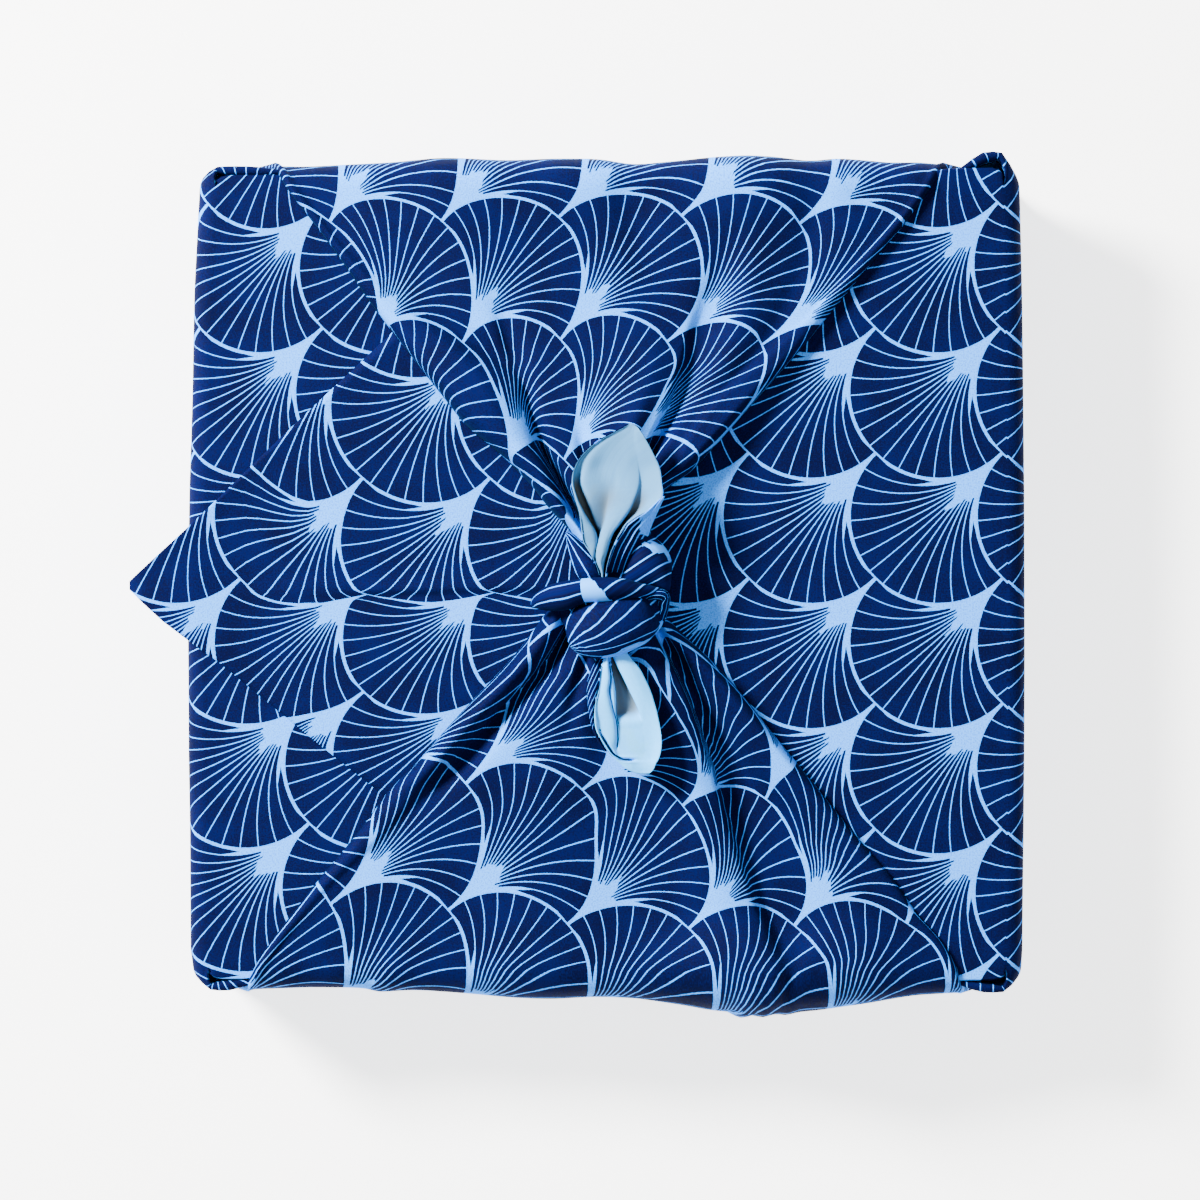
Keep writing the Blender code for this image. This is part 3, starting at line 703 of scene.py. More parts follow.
NEAR_FOLDS = (
    ((50, -24, 30, 30, 0), (66, -26, 24, 24, 1.4), (90, -24, 16, 16, 0.9), (130, -14, 8, 8, 1.2),
     (166, -6, 4, 4, 0)),
    ((48, 50, 20, 18, 0), (60, 47, 16, 13, 3.4), (76, 42, 14, 12, 4.6), (94, 36.4, 12, 11, 5.4),
     (115, 30.4, 10, 10, 6.0), (134, 24, 8.4, 9.4, 6.0), (150, 17, 6, 9, 4.6), (160, 12, 4, 7, 2.8),
     (174, 8, 3, 4, 0)),
    ((44, 66, 6, 10, 0), (52, 62.0, 3.4, 11, -2.6), (60, 58.4, 2.2, 13, -4.6), (76, 51.6, 1.4, 14, -6.4),
     (94, 45.0, 1.1, 14, -7.8), (115, 38.2, 0.9, 13, -8.8), (134, 31.9, 0.8, 10, -9.6),
     (150, 25.6, 0.8, 7, -9.8), (164, 17.8, 0.9, 4, -8), (180, 9, 1.2, 2, -3)),
    ((50, 94, 14, 14, 0), (64, 88, 11, 10, 1.0), (84, 78, 8, 8, 0.8), (104, 66, 6, 6, 0)),
    ((50, 10, 14, 14, 0), (66, 10, 12, 12, -0.9), (88, 8, 9, 9, 0)),
    ((120, -14, 5, 5, 0), (140, -12, 3, 3, -1.8), (162, -6, 1.8, 1.8, -2.8), (178, -5, 1.5, 1.5, 0)),
    ((116, 0, 6, 6, 0), (138, -1, 3.4, 3.4, -1.8), (158, -1, 2, 2, -2.8), (178, 0, 1.6, 1.6, -1)),
    ((118, 13, 4, 4, 0), (138, 10, 2.6, 2.6, -1.6), (158, 6, 1.6, 1.6, -2.6), (178, 4, 1.4, 1.4, -1)),
    ((34, 42, 2.4, 3.4, 0), (40, 44, 2.2, 3.4, 1.5), (48, 49, 2.2, 3.6, 1.5), (56, 55, 2.4, 4, 0)),
    ((38, 50, 2.2, 3, 0), (44, 53, 2.0, 3.2, 1.3), (52, 58, 2.2, 3.6, 1.2), (60, 64, 3, 4, 0)),
    ((40, 60, 2.2, 3, 0), (46, 62, 2.0, 3.2, 1.0), (54, 67, 2.4, 4, 0.8), (62, 72, 3, 4, 0)),
    ((132, 46, 5, 5, 0), (146, 36, 3, 3, -1.6), (158, 27, 2, 2, -2.2), (172, 16, 1.5, 1.5, 0)),
    ((46, -100, 10, 10, 0), (54, -96, 9, 9, -0.5), (70, -84, 8, 8, 0.5), (88, -70, 7, 7, 0)),
    ((38, -80, 3, 4, 0), (44, -78, 3, 4, 0.7), (54, -72, 4, 6, 0.5), (64, -66, 5, 6, 0)),
)
NEAR_MATCH = (
    (-2.3, 140.0, -138.5, -49.0, -5.9, 37.3, 138.5, 0, 0, 0, 0, 0),
    (20, 162.0, -137.0, -46.6, -4.8, 38.0, 136.0, 0, 0, 0, 0, 0),
    (42, 185.4, -134.4, -44.6, -3.4, 39.4, 131.0, 0, 0, 3.2, 2.5, 1.5),
    (55, 199.0, -127.4, -44.0, -2.6, 39.4, 126.0, -1.3, 0, 4.9, 4.8, 3),
    (70, 214.8, -119.4, -42.6, -1.6, 38.8, 120.0, -2.7, 0, 6.5, 6.3, 4),
    (83.2, 228.6, -112.4, -41.2, -1.2, 38.0, 114.0, -4, 1, 6.6, 7.5, 3),
    (95, 242.2, -105.0, -39.6, -0.2, 36.6, 109.0, -4.6, -1.7, 3.4, 5.6, -1),
    (107, 256.1, -97.4, -37.0, 2.0, 34.6, 101.0, -6, -3.4, -3.0, 5, -4),
    (120.6, 271.8, -89.0, -36.0, 3.2, 33.0, 93.0, -7, -6, -0.8, 9, -6),
    (140, 294.0, -80.0, -31.0, 3.2, 28.4, 82.0, -5, -4.5, 0.4, 9, -6),
    (160, 317.0, -72.0, -19.6, 3.0, 19.6, 74.0, -14, -17, 0, -9, -8),
    (180, 340.0, -64.0, -6.6, 0.6, 8.6, 66.0, -20, -21, 0, -17, -14),
)
NEAR_LINE = (
    (-124, 2.0), (-118, 1.4), (-102, 0.5), (-87, 0.6), (-74, 2.4), (-68, 1.9), (-56, 2.5), (-40, 4.0),
    (-28, 5.3), (-17, 5.3), (-2, 4.4), (13, 5.4), (25, 7.2), (36, 9.2), (48, 10.3), (59, 10.4),
    (72, 9.2), (84, 7.6), (96, 5.4), (106, 3.8), (120, 3.0),
)


# %% [markdown]
# A corner is built one row after another, from under the box to the knot. Each row adds its folds,
# lets the cloth bulge over the box's edge, and then rolls both edges over. The print is laid on by
# the length of cloth across the folds, so it narrows where the cloth gathers. Under each rolled
# edge a strip of cloth goes on, as the real fold does, so no edge looks paper thin.

# %% How far a tied corner stands off
RUNS, WALL_RUNS = 92, 25  # rows along a corner, and how many of them are on the side of the parcel
WALL_END = 52  # run where the side's rows end, just over the top edge
UNDER = 5  # points of the strip that is turned under each edge
LEAST_UP = 0.05  # the cloth stays this far above the floor


def edge_path(run, height):
    """(distance out from the middle, height above the floor) across a side of the parcel."""
    upright, arc = TOP - EDGE_RADIUS, EDGE_RADIUS * math.pi / 2
    out, up = np.empty_like(run), np.empty_like(run)
    foot = run < FOOT_RADIUS
    angle = (run - FOOT_RADIUS) / FOOT_RADIUS + math.pi / 2
    out[foot] = (HALF_DEPTH - FOOT_RADIUS + (FOOT_RADIUS + height) * np.sin(angle))[foot]
    up[foot] = np.maximum(FOOT_RADIUS - (FOOT_RADIUS + height) * np.cos(angle), LEAST_UP)[foot]
    wall = (run >= FOOT_RADIUS) & (run <= upright)
    out[wall], up[wall] = (HALF_DEPTH + height)[wall], run[wall]
    turn = (run > upright) & (run < upright + arc)
    angle = (run - upright) / EDGE_RADIUS
    out[turn] = (HALF_DEPTH - EDGE_RADIUS + (EDGE_RADIUS + height) * np.cos(angle))[turn]
    up[turn] = (upright + (EDGE_RADIUS + height) * np.sin(angle))[turn]
    flat = run >= upright + arc
    out[flat] = (HALF_DEPTH - EDGE_RADIUS - (run - upright - arc))[flat]
    up[flat] = (TOP + height)[flat]
    return out, up


def row_at(table, run):
    return [column[0] for column in read(table, run)]


def fold_sum(folds, run, x):
    """All folds together. Each may be steeper on one side, as a fold that leans is."""
    total = np.zeros_like(x)
    for fold in folds:
        if fold[0][0] <= run <= fold[-1][0]:
            middle, left, right, height = row_at(fold, run)
            total += height * np.exp(-(((x - middle) / np.where(x < middle, left, right)) ** 2))
    return total


def soft_max(a, b, soft):
    return 0.5 * (a + b + np.sqrt((a - b) ** 2 + soft * soft))


def rolled(main, d, low, width, height, share, valley):
    """Roll an edge over: d is the distance from the edge, and main the height of the cloth beside it."""
    half = width / 2
    sink = np.where(d < width, 1.0, np.exp(-(((d - width) / valley) ** 2)))
    main = low + 0.4 + (main - low - 0.4) * (1 - share * sink)
    t = np.clip((d - half) / half, 0, 1)
    crest = share * np.sqrt(1 - t * t) + (1 - share) * np.cos(t * math.pi / 2) ** 2
    crest = np.where(d < half, 1.0, crest)
    rise = np.sqrt(np.clip(1 - (1 - np.clip(d / min(half, 4.5 + 4.5 * share), 0, 1)) ** 2, 0, 1))
    top = soft_max(main, low + (height - low) * crest, 0.3 + 1.2 * (1 - share))
    return low + (top - low) * rise


def stand_off(run, x, edge, roll, folds, line, side, low):
    """How far the cloth stands off the parcel along one row. low is the least."""
    left, right, lift = edge
    line_x, line_out = np.transpose(np.array(line, float))
    over_edge = blur(np.interp(x, line_x, line_out), 2, mode="edge") - lift
    uneven = ripple(x, run, 26.0, 1.1 + side) * ramp(np.minimum(x - left, right - x), 2, 14)
    main = lift + fold_sum(folds, run, x)
    main = main + over_edge * float(ramp(run, 6, 38) * (1 - ramp(run, 50, 74))) + 0.15 * uneven
    main = rolled(main, x - left, low, *roll[:4])
    main = rolled(main, right - x, low, *roll[4:])
    return np.maximum(main, low)


# %% Build both tied corners
def lay_print(x, height, edge, match):
    """Flat places along one row: by the length of cloth over its folds, between the known places."""
    flat_y, flat_left, *known, flat_right = match[:6]
    length = np.concatenate([[0], np.cumsum(np.hypot(np.diff(x), np.diff(height)))])
    spots = np.interp([edge[0], *known, edge[1]], x, length)
    flat_x = np.interp(length, spots, [flat_left, *KNOWN_X, flat_right])
    smoothed = blur(flat_x, 4, mode="reflect", reflect_type="odd")
    steep = blur(np.abs(np.gradient(height, x)), 3, mode="edge")
    flat_x = flat_x + 0.7 * np.clip(1.7 - steep, 0, 1) * (smoothed - flat_x)
    return flat_x, blur(flat_y + np.interp(length, spots, match[6:]), 6, mode="edge")


def turned_under(run, edge_x, flat_x, flat_y, inward, low, side):
    """The strip of cloth that goes on under the corner from one edge."""
    back = inward * np.arange(1, UNDER + 1) / UNDER
    out, up = edge_path(np.full(UNDER, float(run)), np.full(UNDER, low * 0.35))
    points = np.stack([edge_x + back, side * out, up], axis=-1)
    return points, np.stack([flat_x - back, np.full(UNDER, side * flat_y)], axis=-1)


def tied_corner(sheet, edges, rolls, folds, match, line, side):
    """The gathered corner at the far (1) or near (-1) side, from under the box into the knot."""
    start, end = edges[0][0], edges[-1][0]
    on_wall = np.linspace(start, WALL_END, WALL_RUNS + 1)[:-1]
    all_points, all_flat = [], []
    for run in [*on_wall, *np.linspace(WALL_END, end, RUNS - WALL_RUNS)]:
        edge, places = row_at(edges, run), row_at(match, run)
        left, right, _ = edge
        low = 0.25 * float(ramp(run, 2, 20)) + 0.5 * float(ramp(run, 46, 54))
        x = left + (right - left) * share_across
        height = stand_off(run, x, edge, row_at(rolls, run), folds, line, side, low)
        out, up = edge_path(np.full_like(x, run), height)
        flat_x, flat_y = lay_print(x, height, edge, places)
        width = min(0.46 * (right - left), 60.0) * float(ramp(run, start, 40))
        left_under = turned_under(run, left, flat_x[0], places[0], width, low, side)
        right_under = turned_under(run, right, flat_x[-1], places[0], -width, low, side)
        over = (np.stack([x, side * out, up], axis=-1), np.stack([flat_x, side * flat_y], axis=-1))
        for grid, a, b, c in zip((all_points, all_flat), left_under, over, right_under):
            grid.append(np.concatenate([a[::-1], b, c]))
    sheet.add(np.array(all_points), np.array(all_flat), turned=side > 0)
    print("tied corner:", RUNS, "rows of", len(all_points[0]), "points,", len(folds), "folds")


cloth_sheet = Sheet()
build_strip(cloth_sheet)
tied_corner(cloth_sheet, FAR_EDGES, FAR_ROLLS, FAR_FOLDS, FAR_MATCH, FAR_LINE, 1)
tied_corner(cloth_sheet, NEAR_EDGES, NEAR_ROLLS, NEAR_FOLDS, NEAR_MATCH, NEAR_LINE, -1)
cloth = cloth_sheet.build("wrapped_cloth")
print("cloth faces", len(cloth.data.polygons))


# %% [markdown]
# ## The print
# The print is a traditional pattern of overlapping fans, like scales. It is worked out by shader
# maths from the flat place of each point. Circles stand in rows, each row half a step along from
# the last. A point belongs to the circle on top of it, and its ribs spread from that fan's tip.


# %% Node helpers
class Graph:
    """Short words for shader maths."""

    def __init__(self, material):
        material.use_nodes = True
        self.tree = material.node_tree
        self.shader = self.tree.nodes["Principled BSDF"]

    def node(self, kind, **values):
        made = self.tree.nodes.new(kind)
        for key, value in values.items():
            setattr(made, key, value)
        return made

    def put(self, value, socket):
        if isinstance(value, bpy.types.NodeSocket):
            self.tree.links.new(value, socket)
        else:
            socket.default_value = value

    def maths(self, operation, *values):
        made = self.node("ShaderNodeMath", operation=operation)
        for value, socket in zip(values, made.inputs):
            self.put(value, socket)
        return made.outputs[0]

    def add(self, a, b):
        return self.maths("ADD", a, b)

    def sub(self, a, b):
        return self.maths("SUBTRACT", a, b)

    def mul(self, a, b):
        return self.maths("MULTIPLY", a, b)

    def step(self, value, start, end, low=0.0, high=1.0):
        made = self.node("ShaderNodeMapRange", interpolation_type="SMOOTHSTEP", clamp=True)
        for socket, given in zip(made.inputs, (value, start, end, low, high)):
            self.put(given, socket)
        return made.outputs[0]

    def blend(self, share, a, b):
        made = self.node("ShaderNodeMix", data_type="RGBA", clamp_factor=True)
        self.put(share, made.inputs[0])
        self.put(a, made.inputs[6])
        self.put(b, made.inputs[7])
        return made.outputs[2]

    def choose(self, share, a, b):
        """a where share is 0 and b where it is 1."""
        return self.add(a, self.mul(share, self.sub(b, a)))


# %% Fans
FAN_RADIUS = 0.03055  # of every circle, in m
TIP = (-0.01785, -0.0006)  # flat place of one fan's tip, in m
BLADE = 12.0  # degrees between two ribs of a fan
RIB, OUTLINE = 0.00037, 0.00112  # widths of the light lines, in m
SOFT = 0.00007  # half of a line's soft edge, in m
LAST_RIB, LAST_BLADE = 80.0, 78.0  # degrees from the fan's middle, beyond which ribs and hub blades end


def which_fan(g, u, v):
    """The fan on top at a flat place: its row, its step across, how far out, and the place on it."""
    root = math.sqrt(0.5)
    along = g.mul(g.sub(g.sub(u, v), TIP[0] - TIP[1]), root / FAN_RADIUS)
    across = g.mul(g.sub(g.add(u, v), TIP[0] + TIP[1]), root / FAN_RADIUS)
    row = g.maths("FLOOR", along)
    rise = g.sub(along, row)
    odd = g.maths("FLOORED_MODULO", row, 2.0)

    def nearest(shift):
        a = g.sub(across, shift)
        return g.sub(a, g.mul(2.0, g.maths("ROUND", g.mul(a, 0.5))))

    x_top = nearest(g.sub(1.0, odd))
    x_under = nearest(odd)
    reach = g.maths("SQRT", g.add(g.mul(x_top, x_top), g.mul(rise, rise)))
    under = g.maths("GREATER_THAN", reach, 1.0)
    x = g.choose(under, x_top, x_under)
    y = g.choose(under, g.add(rise, 1.0), rise)
    return row, across, reach, x, y


def soft_line(g, off, width):
    return g.step(off, width / 2 + SOFT, width / 2 - SOFT)


def fan_mask(g, u, v):
    """1 on the light lines and hubs of the fans, and 0 on the dark ground. Also the hubs alone."""
    row, across, reach, x, y = which_fan(g, u, v)
    # Ribs are circles that all pass through the fan's tip, so each bends as it leaves the tip.
    r2 = g.maths("MAXIMUM", g.add(g.mul(x, x), g.mul(y, y)), 0.0004)
    q = g.maths("DIVIDE", g.mul(2.0, x), r2)
    angle = g.mul(2.0, g.maths("ARCTANGENT", q))
    sector = g.sub(g.maths("DIVIDE", angle, math.radians(BLADE)), 0.5)
    off = g.maths("ABSOLUTE", g.sub(sector, g.maths("ROUND", sector)))
    off = g.mul(off, math.radians(BLADE) * FAN_RADIUS / 4)
    off = g.mul(off, g.mul(r2, g.add(1.0, g.mul(q, q))))
    blade = g.maths("FLOOR", sector)
    jitter = g.node("ShaderNodeTexWhiteNoise", noise_dimensions="2D")
    where = g.node("ShaderNodeCombineXYZ")
    g.put(blade, where.inputs[0])
    g.put(g.add(row, g.mul(17.0, g.maths("ROUND", g.mul(across, 0.5)))), where.inputs[1])
    g.put(where.outputs[0], jitter.inputs["Vector"])
    rib = soft_line(g, off, RIB)
    rib = g.mul(rib, g.maths("LESS_THAN", g.maths("ABSOLUTE", angle), math.radians(LAST_RIB)))
    # The hub ends in a step at every blade, a little uneven, and in a point at the last blade.
    slant = g.maths("ABSOLUTE", g.mul(angle, 1 / math.radians(90)))
    hub_end = g.step(slant, 0.0, 0.34, 0.85, 0.755)
    hub_end = g.add(hub_end, g.mul(0.12, g.sub(jitter.outputs["Value"], 0.5)))
    pointed = g.mul(g.maths("ABSOLUTE", g.sub(slant, 0.94)), 4.5)
    hub_end = g.choose(g.maths("GREATER_THAN", slant, LAST_BLADE / 90), hub_end, g.add(pointed, 1.08))
    corner = g.add(y, g.maths("ABSOLUTE", x))
    hub = g.step(corner, g.add(hub_end, 0.008), g.sub(hub_end, 0.008))
    arc = g.mul(g.maths("ABSOLUTE", g.sub(reach, 1.0)), FAN_RADIUS)
    mask = g.maths("MAXIMUM", g.maths("MAXIMUM", rib, hub), soft_line(g, arc, OUTLINE))
    return mask, hub


print("fans of", round(2 * FAN_RADIUS / MM), "mm with ribs every", BLADE, "degrees")


# %% [markdown]
# ## Cloth materials
# The cloth is a plain cotton weave, dyed dark blue with the fans left light. Its reverse is the
# pale undyed side, where the print shows through very faintly. The weave is bump from the same
# flat place, so it stretches over the folds with the print. Little light gets down into the
# narrow folds of the tails, so a painted grey shade darkens the reverse there, by the depth
# stored at each point.

# %% Colours and the weave
NAVY = (0.00004, 0.0006, 0.0155, 1.0)
NAVY_WORN = (0.00008, 0.0019, 0.0380, 1.0)
PRINT_LIGHT = (0.026, 0.222, 0.88, 1.0)
PRINT_HUB = (0.026, 0.265, 1.0, 1.0)
PRINT_FLECK = (0.07, 0.39, 1.0, 1.0)
PRINT_THIN = (0.02, 0.15, 0.55, 1.0)
REVERSE = (0.06, 0.45, 0.95, 1.0)
# A darker copy of the reverse for the far tail, which lies more in shade: painted shade
REVERSE_SHADED_FAR = (0.062, 0.215, 0.41, 1.0)
# Grey of the painted shade in the deep folds of the tails
FOLD_SHADE_GREY = (0.075, 0.09, 0.095, 1.0)
THREADS, YARN = 620.0, 900.0  # how fine the weave and the fibres of its yarn are
WOBBLE = 0.0002  # of the print's edges, in m
THICKNESS = 0.5  # of the cloth, in mm


def noise(g, place, scale, detail):
    made = g.node("ShaderNodeTexNoise", noise_dimensions="2D")
    set_sockets(made, {"Scale": scale, "Detail": detail})
    g.put(place, made.inputs["Vector"])
    return made.outputs


def flat_place(g):
    """The flat place of a point in metres, with a slight wobble as a printed edge has."""
    uv = g.node("ShaderNodeUVMap", uv_map="flat_cloth")
    fibres = noise(g, uv.outputs[0], YARN, 2.0)
    shift = g.node("ShaderNodeVectorMath", operation="SUBTRACT")
    g.put(fibres["Color"], shift.inputs[0])
    shift.inputs[1].default_value = (0.5, 0.5, 0.5)
    scaled = g.node("ShaderNodeVectorMath", operation="SCALE")
    g.put(shift.outputs[0], scaled.inputs[0])
    scaled.inputs["Scale"].default_value = WOBBLE
    moved = g.node("ShaderNodeVectorMath", operation="ADD")
    g.put(uv.outputs[0], moved.inputs[0])
    g.put(scaled.outputs[0], moved.inputs[1])
    parts = g.node("ShaderNodeSeparateXYZ")
    g.put(moved.outputs[0], parts.inputs[0])
    return uv.outputs[0], parts.outputs[0], parts.outputs[1]


def weave(g, place):
    """Height of a plain weave, and slower unevenness of the yarn."""
    waves = []
    for direction in ("X", "Y"):
        wave = g.node("ShaderNodeTexWave", wave_type="BANDS", bands_direction=direction)
        set_sockets(wave, {"Scale": THREADS, "Distortion": 0.6, "Detail": 1.0})
        g.put(place, wave.inputs["Vector"])
        waves.append(wave.outputs["Fac"])
    slub = noise(g, place, YARN, 3.0)["Fac"]
    return g.add(g.mul(g.add(*waves), 0.25), g.mul(slub, 0.7)), slub


def add_bump(g, height):
    bump = g.node("ShaderNodeBump")
    set_sockets(bump, {"Strength": 0.35, "Distance": 0.00012})
    g.put(height, bump.inputs["Height"])
    g.put(bump.outputs[0], g.shader.inputs["Normal"])


# %% Both sides of the cloth
def printed_material():
    material = bpy.data.materials.new("printed_cotton")
    g = Graph(material)
    place, u, v = flat_place(g)
    mask, hub = fan_mask(g, u, v)
    height, slub = weave(g, place)
    clouds = noise(g, place, 60.0, 4.0)["Fac"]
    fleck = noise(g, place, 1900.0, 3.0)["Fac"]
    worn = g.add(g.mul(clouds, 0.3), g.add(g.mul(slub, 0.2), g.mul(fleck, 0.5)))
    ground = g.blend(g.step(worn, 0.40, 0.60), NAVY, NAVY_WORN)
    light = g.blend(g.mul(hub, g.step(slub, 0.3, 0.6, 0.6, 1.0)), PRINT_LIGHT, PRINT_HUB)
    light = g.blend(g.step(fleck, 0.40, 0.62, 0.0, 0.55), light, PRINT_FLECK)
    light = g.blend(g.step(fleck, 0.46, 0.34, 0.0, 0.5), light, PRINT_THIN)
    g.put(g.blend(mask, ground, light), g.shader.inputs["Base Color"])
    g.put(g.step(slub, 0.3, 0.7, 0.72, 0.86), g.shader.inputs["Roughness"])
    g.shader.inputs["Specular IOR Level"].default_value = 0.04
    g.shader.inputs["Sheen Weight"].default_value = 0.012
    g.shader.inputs["Sheen Roughness"].default_value = 0.5
    g.shader.inputs["Sheen Tint"].default_value = (0.1, 0.5, 1.0, 1.0)
    add_bump(g, height)
    return material


def reverse_material(name, tint):
    material = bpy.data.materials.new(name)
    g = Graph(material)
    place, u, v = flat_place(g)
    mask, _ = fan_mask(g, u, v)
    height, slub = weave(g, place)
    duller = (0.86 * tint[0], 0.9 * tint[1], 0.95 * tint[2], 1.0)
    ghost = g.blend(g.mul(mask, 0.5), duller, tint)
    stain = noise(g, place, 70.0, 4.0)["Fac"]
    warm = (1.5 * tint[0], 0.95 * tint[1], 0.75 * tint[2], 1.0)
    ghost = g.blend(g.step(stain, 0.56, 0.70, 0.0, 0.5), ghost, warm)
    cloth_tint = g.blend(g.step(slub, 0.3, 0.7, 0.0, 0.6), ghost, tint)
    # Painted shade: the reverse turns grey where the stored fold depth is large, as little light gets in
    # there.
    deep = g.node("ShaderNodeAttribute", attribute_name="fold_depth").outputs["Fac"]
    g.put(g.blend(g.step(deep, 0.0, 1.0, 0.0, 0.94), cloth_tint, FOLD_SHADE_GREY), g.shader.inputs["Base Color"])
    g.shader.inputs["Roughness"].default_value = 0.85
    g.shader.inputs["Specular IOR Level"].default_value = 0.1
    add_bump(g, height)
    return material


def dress(piece, upper, lower, rim):
    """Give a sheet its two sides and a real thickness. The rim shows side 0 (upper) or 1 (lower)."""
    piece.data.materials.append(upper)
    piece.data.materials.append(lower)
    skin = piece.modifiers.new("cloth_thickness", "SOLIDIFY")
    skin.thickness = THICKNESS * MM
    skin.offset = -1.0
    skin.material_offset = 1
    skin.material_offset_rim = rim


# %% Dress the wrapped cloth
printed, reverse = printed_material(), reverse_material("pale_reverse", REVERSE)
dress(cloth, printed, reverse, 0)
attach(cloth, "root")
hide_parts("wrap_cloth")
print("finishes:", printed.name, "outside and", reverse.name, "inside,", THICKNESS, "mm thick")

# %% [markdown]
# ## The knot
# The two gathered corners are tied once over the middle. Each bundle of the knot is a band of
# pleated cloth, so it is made as a soft tube along a short path. The print spreads along each
# bundle from the place where the cloth is pinched: as a whole fan, as ribs that run straight
# across or along the bundle, or as ribs that bend. The print is still the one fan, laid another way.

# %% The print on a bundle
# Each of these gives a function that lays the print on places seen from above, in mm, and on shares
# of the way round a bundle: -1 to 1, with 0 at its top.
RIB_REACH, HUB_REACH = 44.0, 16.0  # mm from a fan's tip, where only ribs show and where the hub is
RIBS_START = 28.0  # mm from the tip, where the hub has ended and the ribs begin


def fan_place(angle, distance):
    """Flat place on one fan, from the fan's own blade angle and the distance from its tip, in mm."""
    radius = FAN_RADIUS / MM
    r = np.maximum(distance / radius, 0.05)
    x = np.tan(np.clip(angle, -1.5, 1.5) / 2) * r * r / 2
    y = np.sqrt(np.maximum(r * r - x * x, 0.01))
    u = (y + x) * math.sqrt(0.5) * radius + TIP[0] / MM
    v = (x - y) * math.sqrt(0.5) * radius + TIP[1] / MM
    return np.stack([u, v], axis=-1)


def seen_from(pivot, plan, first):
    """Distance and direction in degrees (from first on) of places as seen from a pivot."""
    d = plan - np.array(pivot, float)
    turn = np.degrees(np.arctan2(d[..., 1], d[..., 0]))
    return np.hypot(d[..., 0], d[..., 1]), (turn - first) % 360 + first


def fanned(pivot, heading, spoke, start, stretch):
    """A fan whose blades spread from the pivot, one for each spoke of so many degrees."""

    def lay(plan, across):
        away, turn = seen_from(pivot, plan, heading - 180.0)
        return fan_place(np.radians((turn - heading) * BLADE / spoke), start + stretch * away)

    return lay


def between_ribs(value, marks):
    """Ribs at the marks and none beyond them, as blade angles."""
    half = (marks[-1] - marks[0]) / (2 * len(marks) - 2)
    ends = [marks[0] - half, *marks, marks[-1] + half]
    steps = [-0.5, *range(len(marks)), len(marks) - 0.5]
    middle = len(marks) // 2
    return np.radians(BLADE * (np.interp(value, ends, steps) - middle + 0.5))


def along_ribs(*marks):
    """Ribs that run along a bundle, at shares of its half girth from the top."""
    return lambda plan, across: fan_place(between_ribs(across, marks), RIB_REACH)


def lined(heading, *marks):
    """Straight ribs at this heading, at distances across it."""
    way = math.radians(heading)

    def lay(plan, across):
        off = plan[..., 1] * math.cos(way) - plan[..., 0] * math.sin(way)
        return fan_place(between_ribs(off, marks), RIB_REACH)

    return lay


def swept(pivot, twist, marks, reach):
    """A fan whose ribs bend as they leave the pivot and end on an outline at these reaches."""

    def lay(plan, across):
        away, turn = seen_from(pivot, plan, -120.0)
        angle = between_ribs(turn - twist * away, marks)
        edge = 2 * FAN_RADIUS / MM * np.cos(angle / 2)
        end = np.interp(turn, *np.transpose(reach))
        return fan_place(angle, np.minimum(RIBS_START + (edge - RIBS_START) * away / end, edge + 0.2))

    return lay


def patched(lay, inside):
    """The same print, with a hub where a place is inside."""

    def both(plan, across):
        hub = fan_place(np.zeros(plan.shape[:-1]), HUB_REACH)
        return np.where(inside(plan[..., 0], plan[..., 1])[..., None], hub, lay(plan, across))

    return both


# %% A bundle of pleated cloth
RIM = 26  # points round a bundle


def path_frame(path):
    """The direction to the side and the one upwards at every point of a path."""
    along = np.gradient(path, axis=0)
    along /= np.linalg.norm(along, axis=1)[:, None]
    side = np.cross(along, (0, 0, 1.0))
    side /= np.linalg.norm(side, axis=1)[:, None]
    return side, np.cross(side, along)


def bundle(sheet, table, steps, prints, pleats=(0.0, 5)):
    """A soft tube of cloth along a table of rows. pleats are their depth and how many go round.

    prints is one way to lay the print, or a list of (last step, way) along the bundle.
    """
    rows = np.array(table, float)
    at = np.concatenate([[0], np.cumsum(np.linalg.norm(np.diff(rows[:, :3], axis=0), axis=1))])
    x, y, height, wide, thick = read(np.column_stack([at, rows]), np.linspace(0, at[-1], steps))
    path = np.stack([x, y, height + TOP], axis=-1)
    wide, thick = np.maximum(wide, 0.2), np.maximum(thick, 0.2)
    side, up = path_frame(path)
    turn = np.linspace(0, 2 * math.pi, RIM + 1) + math.pi / 2
    deep, many = pleats
    points, plans, across = [], [], []
    for i in range(steps):
        fade = math.sin(math.pi * i / (steps - 1)) ** 0.5  # a bundle is smooth where it is pinched
        waves = deep * np.sin(many * turn + 0.6 + 2.2 * i / steps) * fade
        a, b = np.cos(turn) * wide[i] * (1 + waves), np.sin(turn) * thick[i] * (1 + waves)
        ring = path[i] + a[:, None] * side[i] + b[:, None] * up[i]
        girth = np.concatenate([[0], np.cumsum(np.linalg.norm(np.diff(ring, axis=0), axis=1))])
        half = girth[-1] / 2
        spread = np.where(girth <= half, -girth, 2 * half - girth)
        points.append(ring)
        plans.append(path[i, :2] + spread[:, None] * side[i, :2])
        across.append(spread / half)
    points, plans, across = np.array(points), np.array(plans), np.array(across)
    start = 0
    for end, lay in prints if isinstance(prints, list) else [(steps, prints)]:
        sheet.add(points[start:end], lay(plans[start:end], across[start:end]), turned=True)
        start = end - 1


